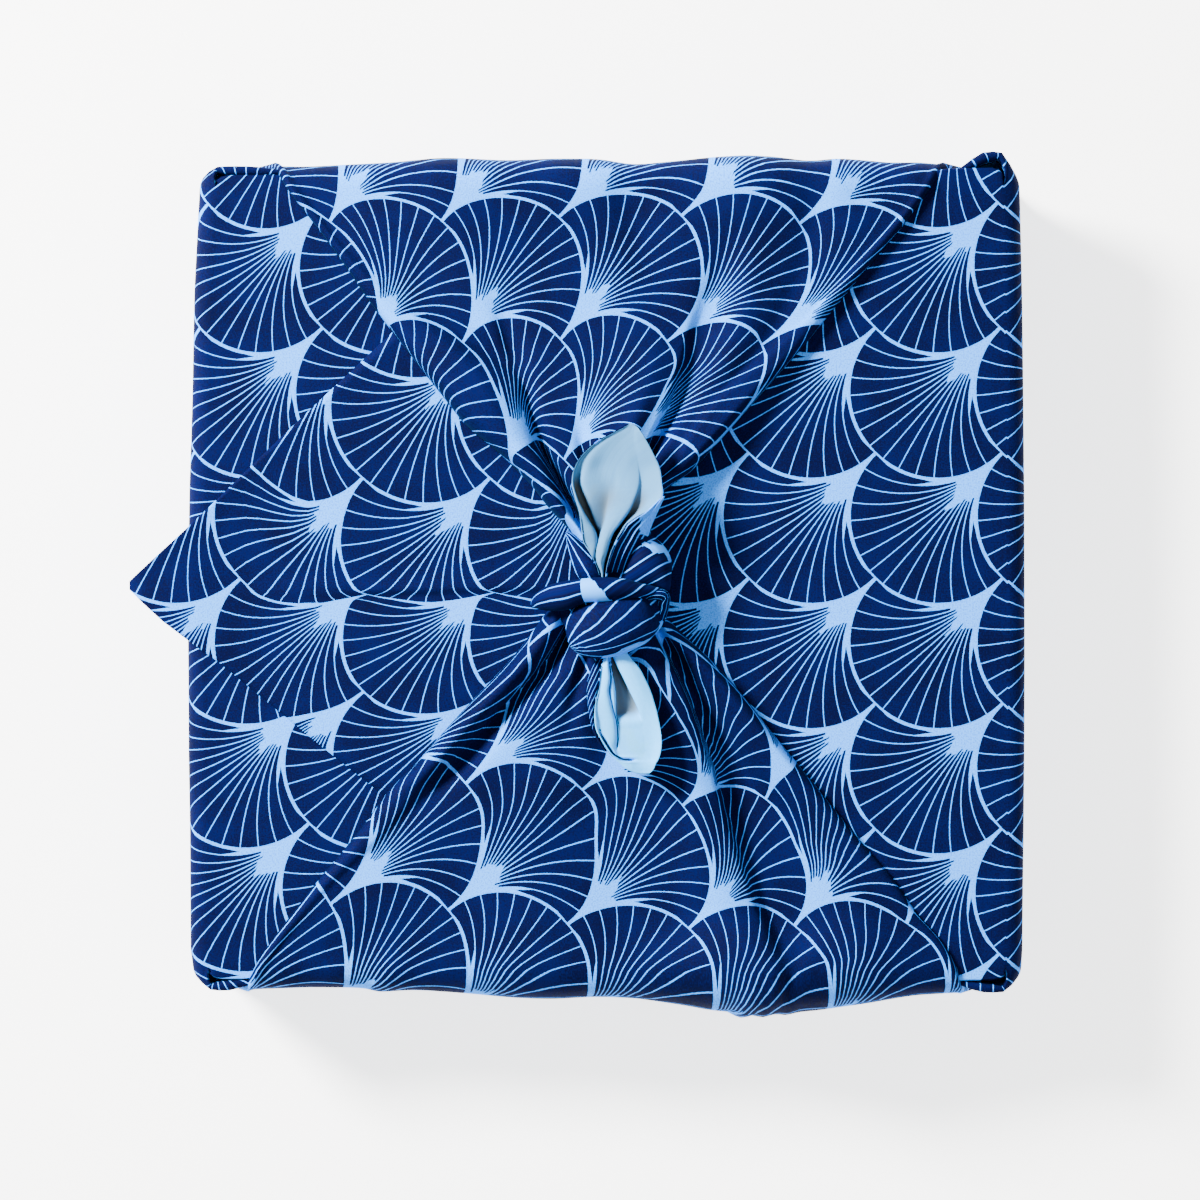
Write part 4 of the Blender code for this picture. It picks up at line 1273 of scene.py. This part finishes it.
# %% Tables of the knot
# Rows along each bundle: (x, y, height over the panels, half width, half thickness)
UPPER_BAND = (
    (-25.3, -10.0, 11.5, 0.6, 0.8),
    (-23.4, -8.6, 13.4, 2.6, 2.2),
    (-19.5, -7.3, 15.8, 4.2, 3.4),
    (-14.0, -6.2, 18.4, 4.9, 4.2),
    (-8.0, -4.6, 20.2, 4.1, 4.4),
    (-1.3, -4.2, 21.2, 4.2, 4.4),
    (5.1, -4.1, 21.0, 3.6, 4.2),
    (11.0, -4.4, 19.4, 2.4, 3.4),
    (15.8, -4.6, 17.2, 1.4, 2.2),
    (18.6, -4.6, 14.5, 0.6, 1.0),
)
LOWER_BAND = (
    (-11.2, -16.2, 8.0, 4.6, 2.4),
    (-10.9, -16.2, 12.5, 5.6, 2.8),
    (-9.8, -16.4, 16.4, 7.2, 4.0),
    (-5.5, -17.7, 19.6, 9.4, 5.2),
    (0.5, -17.3, 20.6, 9.6, 5.6),
    (6.5, -15.8, 20.4, 8.9, 5.4),
    (11.0, -14.4, 18.6, 7.9, 4.8),
    (13.2, -13.8, 15.4, 6.6, 3.6),
    (13.7, -13.5, 10.0, 4.8, 2.8),
)
SIDE_LOBE = (
    (4.6, -2.4, 11.0, 2.2, 3.0),
    (9.2, 0.4, 14.6, 4.6, 4.2),
    (12.6, 2.9, 16.0, 7.6, 4.8),
    (15.0, 4.5, 16.0, 10.8, 4.8),
    (16.7, 5.4, 14.4, 9.6, 4.2),
    (18.2, 6.0, 12.0, 6.6, 3.4),
    (19.0, 6.3, 9.0, 3.0, 2.0),
)
CORE = (
    (-15.0, -10.0, 9.0, 5.0, 3.0),
    (-9.0, -10.5, 11.0, 11.0, 6.0),
    (2.0, -10.5, 12.5, 13.5, 7.5),
    (12.0, -10.0, 12.0, 11.0, 6.5),
    (18.5, -9.5, 9.0, 6.0, 4.0),
)
END_CURL = (
    (12.6, -7.2, 16.5, 1.0, 1.2),
    (16.0, -6.0, 18.0, 1.7, 2.0),
    (18.7, -6.4, 16.6, 2.1, 2.4),
    (18.8, -9.4, 14.6, 2.1, 2.2),
    (17.9, -13.4, 12.0, 1.8, 1.8),
    (16.8, -17.6, 9.0, 1.2, 1.2),
)
LEFT_GATHER = (
    (-13.0, 14.6, 8.0, 1.0, 1.6),
    (-11.2, 11.2, 11.4, 2.4, 2.6),
    (-8.4, 6.6, 14.0, 4.0, 3.4),
    (-5.4, 2.0, 15.6, 4.6, 3.6),
    (-3.6, -1.4, 14.6, 3.4, 3.0),
)
LEFT_HEM = (
    (-1.6, -26.5, 14.0, 0.8, 1.2),
    (-3.6, -31.0, 15.6, 1.6, 1.6),
    (-4.6, -37.0, 16.4, 2.2, 1.8),
    (-5.1, -43.0, 17.0, 1.4, 1.6),
    (-4.9, -48.5, 17.4, 0.8, 1.2),
    (-3.4, -53.8, 17.4, 0.5, 0.8),
    (-0.6, -58.6, 17.0, 0.3, 0.6),
)

# %% Tie the knot
# How far the lower band's ribs reach from their pivot: (direction in degrees, mm)
LOWER_REACH = (
    (-8, 13.0), (-2, 16.0), (5, 21.4), (8, 27.0), (11.5, 30.6), (20, 32.7), (29.5, 34.0), (42, 42.0),
)
LOBE_HUB = ((10.8, 10.7), (14.2, 7.2), (18.0, 5.0))  # (x, y) along the lower edge of the lobe's hub

upper_print = patched(
    lined(42.0, -13.2, -9.3, -2.9),
    lambda x, y: (x + 4.2) * 7.3 + (y + 0.6) * 5 < 0,
)
lower_print = swept((-14.0, -25.5), 0.65, (-18.0, -5.0, 4.5, 18.0, 31.0, 46.0, 61.0, 75.0, 89.0), LOWER_REACH)
lobe_print = patched(
    lined(32.0, -10.0, -6.4, -1.6, 3.0),
    lambda x, y: (x > 10.8) & (y < 10.8) & (y > np.interp(x, *np.transpose(LOBE_HUB))),
)
knot_sheet = Sheet()
bundle(knot_sheet, CORE, 26, fanned((-2.0, -24.0), 60.0, 10.0, 20.0, 1.0))
bundle(knot_sheet, LEFT_GATHER, 26, fanned((-14.5, 15.0), -52.0, 17.0, 29.0, 1.1), (0.06, 4))
bundle(knot_sheet, LEFT_HEM, 50, lined(64.0, *(-17.6 + 1.25 * i for i in range(11))), (0.05, 3))
bundle(knot_sheet, SIDE_LOBE, 60, lobe_print, (0.02, 4))
bundle(knot_sheet, END_CURL, 40, along_ribs(-0.42, -0.2, 0.04, 0.28), (0.04, 4))
bundle(knot_sheet, UPPER_BAND, 96, [(41, along_ribs(-0.27, 0.07)), (96, upper_print)], (0.02, 3))
bundle(knot_sheet, LOWER_BAND, 72, lower_print, (0.015, 5))

# %% [markdown]
# The far end leans over to the left as it leaves the knot, so a narrow strip of its printed outside
# shows on its right. It is a curved wall between two lines, and ends inside the knot.

# %% The outside of the far end, beside the knot
# Its upper rim and its foot: (share of the way along, x, y, height over the panels)
RIM_LINE = (
    (0.0, -1.0, 1.0, 15.5),
    (0.12, 0.9, 7.5, 20.6),
    (0.25, 2.6, 11.7, 22.6),
    (0.38, 4.7, 15.1, 23.6),
    (0.5, 6.5, 17.7, 24.2),
    (0.62, 9.4, 19.8, 24.6),
    (0.75, 12.8, 21.8, 24.9),
    (0.87, 15.4, 24.0, 25.0),
    (1.0, 18.3, 26.8, 25.0),
)
FOOT_LINE = (
    (0.0, 8.0, -1.5, 12.0),
    (0.2, 10.0, 4.0, 14.0),
    (0.4, 12.4, 9.5, 15.0),
    (0.55, 13.8, 13.0, 15.5),
    (0.7, 14.8, 16.6, 17.0),
    (0.85, 16.9, 21.5, 20.5),
    (1.0, 19.4, 27.0, 24.6),
)
# How far from the fan's tip the print is on the way along: (share, mm)
END_REACH = ((0, 50), (0.2, 38), (0.45, 27.5), (0.7, 20), (1, 8))
BULGE, RIPPLE = 2.2, 0.5  # mm that the wall stands out in its middle, and its small waves


def far_end_wall(along_steps=70, down_steps=41):
    """The printed outside of the far end, from its rim down to its foot, and its flat places."""
    along = np.linspace(0, 1, along_steps)
    down = np.linspace(0, 1, down_steps)[None, :]
    rim, foot = (read(line, along).T[:, None] for line in (RIM_LINE, FOOT_LINE))
    points = rim * (1 - down[..., None]) + foot * down[..., None]
    stands = BULGE * np.sin(math.pi * down) + RIPPLE * np.sin(math.pi * 5 * down)
    points[..., 2] += TOP + stands * np.sin(math.pi * along)[:, None] ** 0.5
    angle = np.radians(BLADE * (down * 5.6 - 2.9)) * np.ones((along_steps, 1))
    reach = np.interp(along, *np.transpose(END_REACH))[:, None] + 2.0 * np.sin(3 * down + 1)
    return points, fan_place(angle, reach)


knot_sheet.add(*far_end_wall())
knot = knot_sheet.build("knot")
knot.data.materials.append(printed)
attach(knot, "root")
print("knot faces", len(knot.data.polygons))

# %% [markdown]
# ## The tails
# The two free ends of the tied corners stand out of the knot like cupped leaves, reverse side up.
# Each is a grid across a few given lines: the rims, the channels and the rolled
# ridge. The cloth is drawn in where it leaves the knot, widens, and ends in the square's own corner.

# %% Tables of the tails
# Each row: y, then (x, height over the panels) of every line along the leaf, as the camera sees them.
# From the left: the left rim's edge, crest and foot, the channel, the rolled ridge, the channel beside
# it, and the right wall up to its rim.
FAR_LINES = (
    (-5, (-3.2, 15), (-3.1, 15.2), (-3, 14.8), (-2.9, 14.4), (-2.8, 14.4), (-2.7, 14.4), (-2.6, 14.4),
     (-2.5, 15.2), (-2.1, 16.4), (-1.5, 16.4), (-1.2, 15), (-1.1, 12.6), (-0.8, 14), (-0.6, 16)),
    (1.5, (-2.9, 18.4), (-2.8, 18.5), (-2.6, 17.4), (-2.5, 16.2), (-2.4, 16), (-2.3, 16), (-2.2, 16.6),
     (-2.1, 18.4), (-1.9, 20.2), (-1.4, 20.2), (-1.1, 17), (-1, 13), (-0.7, 16), (-0.4, 20.6)),
    (5, (-4.2, 20.2), (-4.1, 20.3), (-4, 18.4), (-3.9, 15.7), (-3.8, 15.5), (-3.75, 16.8), (-3.7, 18),
     (-3.5, 20.2), (-2.8, 21.6), (-1.8, 21.6), (-0.9, 19.2), (-0.7, 12), (-0.2, 15), (0.3, 21.6)),
    (8, (-5.8, 21), (-5.6, 21.1), (-4.2, 20.6), (-4.05, 15), (-4, 14.4), (-3.95, 17.6), (-3.9, 19.2),
     (-3.7, 21), (-2.7, 22.2), (-1.2, 22.4), (-0.1, 20.5), (0.1, 11.6), (0.6, 15), (1.2, 22.3)),
    (12, (-8, 21.8), (-7.8, 21.9), (-3.5, 21.2), (-3.3, 14.8), (-3.25, 14.2), (-3.2, 17.4), (-3.15, 19.2),
     (-2.9, 21.2), (-1.8, 22.4), (-0.2, 22.6), (1, 20.7), (1.25, 11.6), (2, 15), (2.9, 23.2)),
    (15, (-8.5, 22.4), (-8.3, 22.5), (-4, 21.6), (-3.75, 14.8), (-3.1, 14.2), (-2.6, 17.4), (-2.4, 18.8),
     (-2.1, 20.8), (-0.9, 22.2), (0.9, 22.4), (2.2, 20.9), (2.5, 12), (3.5, 16.2), (4.8, 24)),
    (18.5, (-9, 22.8), (-8.8, 22.9), (-5.8, 22), (-5.5, 15), (-4.4, 14.8), (-3.9, 18.8), (-1.4, 18.8),
     (-0.8, 20.6), (0.6, 21.8), (2.9, 22.2), (4.8, 21.1), (5.1, 14), (6, 18.4), (7.5, 24.6)),
    (22.5, (-9.7, 23.8), (-9.5, 23.9), (-8.1, 23.2), (-7.8, 15.8), (-6.1, 15.6), (-5.2, 20), (-0.9, 19),
     (0.1, 20.2), (1.8, 21.2), (4.9, 21.8), (7.5, 21.3), (7.9, 17.4), (10.4, 19.8), (13.6, 25.2)),
    (27, (-11, 24.4), (-10.9, 24.5), (-10.2, 24), (-9.8, 17.2), (-7.9, 16.8), (-6.6, 20.8), (-0.6, 19.4),
     (1.1, 19.8), (3.2, 20.6), (6.6, 21.2), (9.4, 21.1), (10, 19.1), (14, 20.9), (18.4, 24.6)),
    (32, (-12, 22.8), (-11.9, 22.9), (-11.5, 22.4), (-11.1, 17.8), (-9.8, 17.8), (-8, 20.6), (-1.2, 19.4),
     (2.2, 19.4), (4.4, 20), (7.6, 20.5), (10.6, 20.4), (11.6, 19.5), (15, 21.1), (18.5, 22.8)),
    (37.5, (-10.9, 20.9), (-10.8, 20.9), (-10.4, 20.4), (-9.8, 19.2), (-8.6, 19.3), (-6.4, 19.9),
     (-2.2, 18.9), (2, 19.3), (4.6, 19.7), (7.4, 19.9), (10.2, 19.7), (11.2, 19.6), (13.9, 20.2),
     (17.7, 21.3)),
    (42, (-8, 20.6), (-7.9, 20.6), (-7.5, 20.2), (-6.8, 19.6), (-5.8, 19.8), (-4.2, 20), (-0.8, 19.6),
     (2.4, 19.6), (4.8, 19.7), (7.2, 19.9), (9.4, 20), (10.4, 20.1), (12.6, 20.6), (15.7, 21)),
    (46, (-3.3, 20.5), (-3.2, 20.5), (-2.8, 20.2), (-2.2, 19.9), (-1.4, 19.9), (-0.2, 20), (1.6, 19.9),
     (3.4, 19.8), (5, 19.8), (6.8, 19.9), (8.4, 20), (9.2, 20.1), (10.8, 20.5), (13.6, 20.8)),
    (49.5, (3.1, 20.4), (3.2, 20.4), (3.5, 20.2), (3.8, 20.1), (4.2, 20), (4.8, 19.9), (5.6, 19.9),
     (6.4, 19.9), (7.2, 19.9), (8, 19.9), (8.8, 20), (9.3, 20.1), (10, 20.4), (11.4, 20.8)),
    (51.4, (6.6, 20.2), (6.65, 20.2), (6.8, 20.1), (7, 20), (7.2, 20), (7.4, 19.9), (7.7, 19.9),
     (7.9, 19.9), (8.2, 19.9), (8.5, 19.9), (8.8, 20), (9, 20), (9.3, 20.1), (9.7, 20.2)),
    (52.1, (7.6, 20), (7.65, 20), (7.7, 20), (7.75, 20), (7.8, 20), (7.85, 20), (7.9, 20),
     (7.95, 20), (8, 20), (8.05, 20), (8.1, 20), (8.15, 20), (8.2, 20), (8.3, 20)),
)
# From the left: the left wall's rim and the crease inside it, the slit, the narrow fold, the channel's
# floor, and the right wall up to its rim.
NEAR_LINES = (
    (-21, (-0.5, 14.6), (-0.45, 14.7), (-0.4, 14.7), (-0.3, 14.8), (0.3, 15.2), (0.4, 13.6), (0.5, 14.2),
     (0.7, 14.3), (0.8, 12.8), (1.2, 12.4), (1.6, 12.6), (1.8, 15.4), (3.4, 16), (5.2, 15)),
    (-27, (-1, 18.6), (-0.9, 18.7), (-0.85, 18.7), (-0.8, 18.8), (0.25, 19.2), (0.45, 11), (0.6, 17),
     (0.9, 17.2), (1.05, 13.8), (1.5, 13.4), (2, 13.2), (2.25, 19), (4.8, 19.6), (7.7, 18.2)),
    (-31, (-2, 19.6), (-1.9, 19.7), (-1.8, 19.7), (-1.7, 19.7), (0.65, 19.9), (0.9, 11), (1.15, 18),
     (1.5, 18), (1.75, 13.8), (2.8, 13.4), (3.8, 13), (4.1, 19.2), (7.6, 20), (11.1, 18.6)),
    (-34.5, (-2.4, 20), (-2.3, 20.1), (-2.2, 20.1), (-2.1, 20), (0.95, 20.1), (1.2, 11.5), (1.45, 18.6),
     (2.1, 18.6), (2.35, 14.2), (4, 14), (5.5, 13.6), (5.85, 19.2), (9.4, 20.1), (13, 18.8)),
    (-39, (-3, 20.4), (-2.9, 20.5), (-2.8, 20.5), (-2.6, 20.2), (0.45, 20), (0.75, 12), (1, 18.8),
     (2.75, 18.8), (3, 14.4), (5.2, 14.6), (7.6, 14.6), (8, 19.1), (11.4, 20), (15, 19.1)),
    (-42.5, (-3.9, 20.8), (-3.8, 20.9), (-3.6, 20.8), (-3.3, 20.4), (1.1, 20), (1.4, 12.5), (1.65, 18.8),
     (2.95, 18.7), (3.25, 14.4), (6, 14.8), (9.2, 15), (9.7, 19), (12.6, 19.8), (16.1, 19.4)),
    (-45.5, (-4.3, 21), (-4.2, 21), (-3.9, 20.9), (-3.4, 20.3), (1.7, 19.9), (2, 13), (2.3, 18.6),
     (3, 18.4), (3.35, 14.6), (6.6, 15.2), (10.4, 16.2), (11, 18.9), (13.6, 19.5), (16.9, 19.7)),
    (-48.5, (-4.3, 21), (-4.1, 21.1), (-3.6, 20.9), (-2.9, 20), (2.5, 19.7), (2.85, 13), (3.2, 18),
     (3.5, 17.8), (3.9, 17.6), (7, 18.1), (11.2, 18.4), (12, 18.7), (14.4, 19.2), (17.5, 19.9)),
    (-52, (-3.7, 20.8), (-3.3, 21), (-2.5, 19.7), (-2, 19.8), (3, 19.3), (3.35, 13), (3.7, 18),
     (4.1, 18.1), (4.6, 18.1), (7.6, 18.3), (11.6, 18.4), (12.6, 18.5), (15.2, 18.9), (18.2, 20)),
    (-55.5, (-2, 20.6), (-1.4, 20.9), (-0.8, 15.3), (-0.2, 19.5), (3.2, 18.9), (3.55, 15), (4, 18.1),
     (4.4, 18.2), (5, 18.2), (8, 18.3), (11.8, 18.3), (13, 18.3), (15.6, 18.7), (18.5, 20.1)),
    (-58.5, (-0.2, 20.4), (0.5, 20.7), (1, 14.8), (1.5, 19.2), (3, 18.6), (3.4, 18.2), (4, 18.3),
     (4.6, 18.3), (5.4, 18.3), (8.4, 18.3), (11.8, 18.2), (13.2, 18.2), (15.6, 18.6), (18.4, 20.1)),
    (-60.4, (1.2, 20.2), (2, 20.5), (2.5, 14.7), (3.1, 18.9), (4, 18.6), (4.5, 18.5), (5, 18.4),
     (5.6, 18.4), (6.4, 18.4), (8.8, 18.3), (11.6, 18.1), (13.2, 18.1), (15.4, 18.5), (18, 20)),
    (-61.6, (2.4, 20.1), (3.6, 20.2), (4.2, 15.6), (5, 17), (5.6, 18.5), (6.2, 18.5), (6.8, 18.5),
     (7.4, 18.5), (8.2, 18.5), (9.4, 18.5), (11, 18.3), (13, 18.2), (15.2, 18.5), (17.6, 19.9)),
    (-62.2, (3, 20), (4.2, 20), (5, 18), (5.6, 15.4), (6.2, 15), (6.8, 15), (7.4, 15.2),
     (8, 15.8), (8.6, 17), (9.6, 18), (11, 18.3), (12.8, 18.3), (15, 18.6), (17.3, 19.8)),
    (-62.8, (3.7, 20), (5, 20), (5.9, 19.8), (6.5, 19.6), (7, 19.5), (7.5, 19.5), (8, 19.5),
     (8.5, 19.4), (9.2, 19.2), (9.9, 19), (11, 18.7), (12.6, 18.6), (14.7, 18.8), (16.9, 19.6)),
    (-63.4, (4.4, 19.9), (5.6, 19.9), (6.4, 19.8), (7, 19.7), (7.5, 19.6), (8, 19.6), (8.5, 19.5),
     (9, 19.4), (9.6, 19.2), (10.3, 19), (11.3, 18.8), (12.8, 18.7), (14.6, 18.9), (16.6, 19.6)),
    (-64.8, (6, 19.7), (6.9, 19.8), (7.6, 19.7), (8.2, 19.6), (8.7, 19.5), (9.2, 19.4), (9.7, 19.3),
     (10.2, 19.2), (10.8, 19.1), (11.4, 19), (12.3, 18.9), (13.4, 18.9), (14.7, 19), (16.1, 19.3)),
    (-66, (8, 19.4), (8.6, 19.5), (9.1, 19.4), (9.6, 19.3), (10, 19.2), (10.4, 19.1), (10.8, 19.1),
     (11.2, 19), (11.7, 19), (12.2, 18.9), (12.8, 18.9), (13.6, 18.9), (14.4, 19), (15.3, 19.1)),
    (-66.8, (10.2, 19), (10.5, 19), (10.8, 19), (11, 19), (11.3, 19), (11.6, 19), (11.8, 19),
     (12.1, 19), (12.4, 19), (12.7, 19), (13, 19), (13.4, 19), (13.8, 19), (14.3, 19)),
)


# %% Leaves of free cloth
def leaf(lines, rows=130, between=6):
    """Points of a leaf: smooth along each line and, with so many points between two, across them."""
    table = np.array([row[1:] for row in lines], float)
    nearer = 1 - table[..., 1] / (EYE_HEIGHT - TOP)  # a high place is nearer the eye's own x and y
    table[..., 0] = EYE_XY[0] + (table[..., 0] - EYE_XY[0]) * nearer
    at = EYE_XY[1] + (np.array([row[0] for row in lines]) - EYE_XY[1]) * nearer.mean(axis=1)
    table = table.reshape(len(lines), -1)
    order = np.argsort(at)
    fine = np.linspace(at[0], at[-1], rows)
    values = read(np.column_stack([at[order], table[order]]), fine)
    count = len(values) // 2
    steps = np.linspace(0, count - 1, (count - 1) * between + 1)
    points = []
    for y, row in zip(fine, values.T):
        x, z = read(np.column_stack([np.arange(count), row[0::2], row[1::2]]), steps)
        points.append(np.stack([x, np.full_like(x, y), z + TOP], axis=-1))
    return np.array(points)


def depth(points, first, last):
    """0 to 1 for places that lie first to last mm below a cloth stretched over their own row."""
    out = np.zeros(points.shape[:2])
    for row, line in zip(out, points):
        order = np.argsort(line[:, 0])
        x, z = line[order, 0], line[order, 2]
        top = [0]
        for i in range(1, len(x)):
            while len(top) > 1:
                a, b = top[-2:]
                if (z[b] - z[a]) * (x[i] - x[a]) > (z[i] - z[a]) * (x[b] - x[a]):
                    break
                top.pop()
            top.append(i)
        row[:] = np.interp(line[:, 0], x[top], z[top]) - line[:, 2]
    return np.clip((out - first) / (last - first), 0, 1)


far_leaf, near_leaf = leaf(FAR_LINES), leaf(NEAR_LINES)
far_flat = fanned((20.5, 29.0), 238.0, 9.0, 16.0, 1.0)(far_leaf[..., :2], None)
near_flat = np.stack([near_leaf[..., 0] * 1.2, near_leaf[..., 1] - 380.0], axis=-1)
far_sheet, near_sheet = Sheet(), Sheet()
# The depth of each point below its row's outline sets how much painted shade its fold gets.
far_sheet.add(far_leaf, far_flat, deep=depth(far_leaf, 2.8, 6.6))
near_sheet.add(near_leaf, near_flat, turned=True, deep=depth(near_leaf, 1.9, 5.2))
far_tail, near_tail = far_sheet.build("far_tail"), near_sheet.build("near_tail")
# The far tail takes the darker copy of the reverse, a painted shade; the near tail takes the reverse itself.
for tail, side_up in ((far_tail, reverse_material("shaded_reverse", REVERSE_SHADED_FAR)), (near_tail, reverse)):
    dress(tail, side_up, printed, 1)
    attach(tail, "root")
    print(tail.name, "faces", len(tail.data.polygons), "in", side_up.name)

# %% [markdown]
# ## The box inside
# Only a trace of the box could ever be seen, deep in the corner pockets. It is plain card.

# %% Card
CARD_DARK, CARD_LIGHT = (0.10, 0.085, 0.06, 1.0), (0.16, 0.13, 0.10, 1.0)

card = bpy.data.materials.new("plain_card")
g = Graph(card)
fibre = g.node("ShaderNodeTexNoise")
fibre.inputs["Scale"].default_value = 900.0
spot = g.node("ShaderNodeTexCoord")
g.put(spot.outputs["Object"], fibre.inputs["Vector"])
g.put(g.blend(fibre.outputs["Fac"], CARD_DARK, CARD_LIGHT), g.shader.inputs["Base Color"])
g.shader.inputs["Roughness"].default_value = 0.9
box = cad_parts["gift_box"]
box.data.materials.clear()
box.data.materials.append(card)
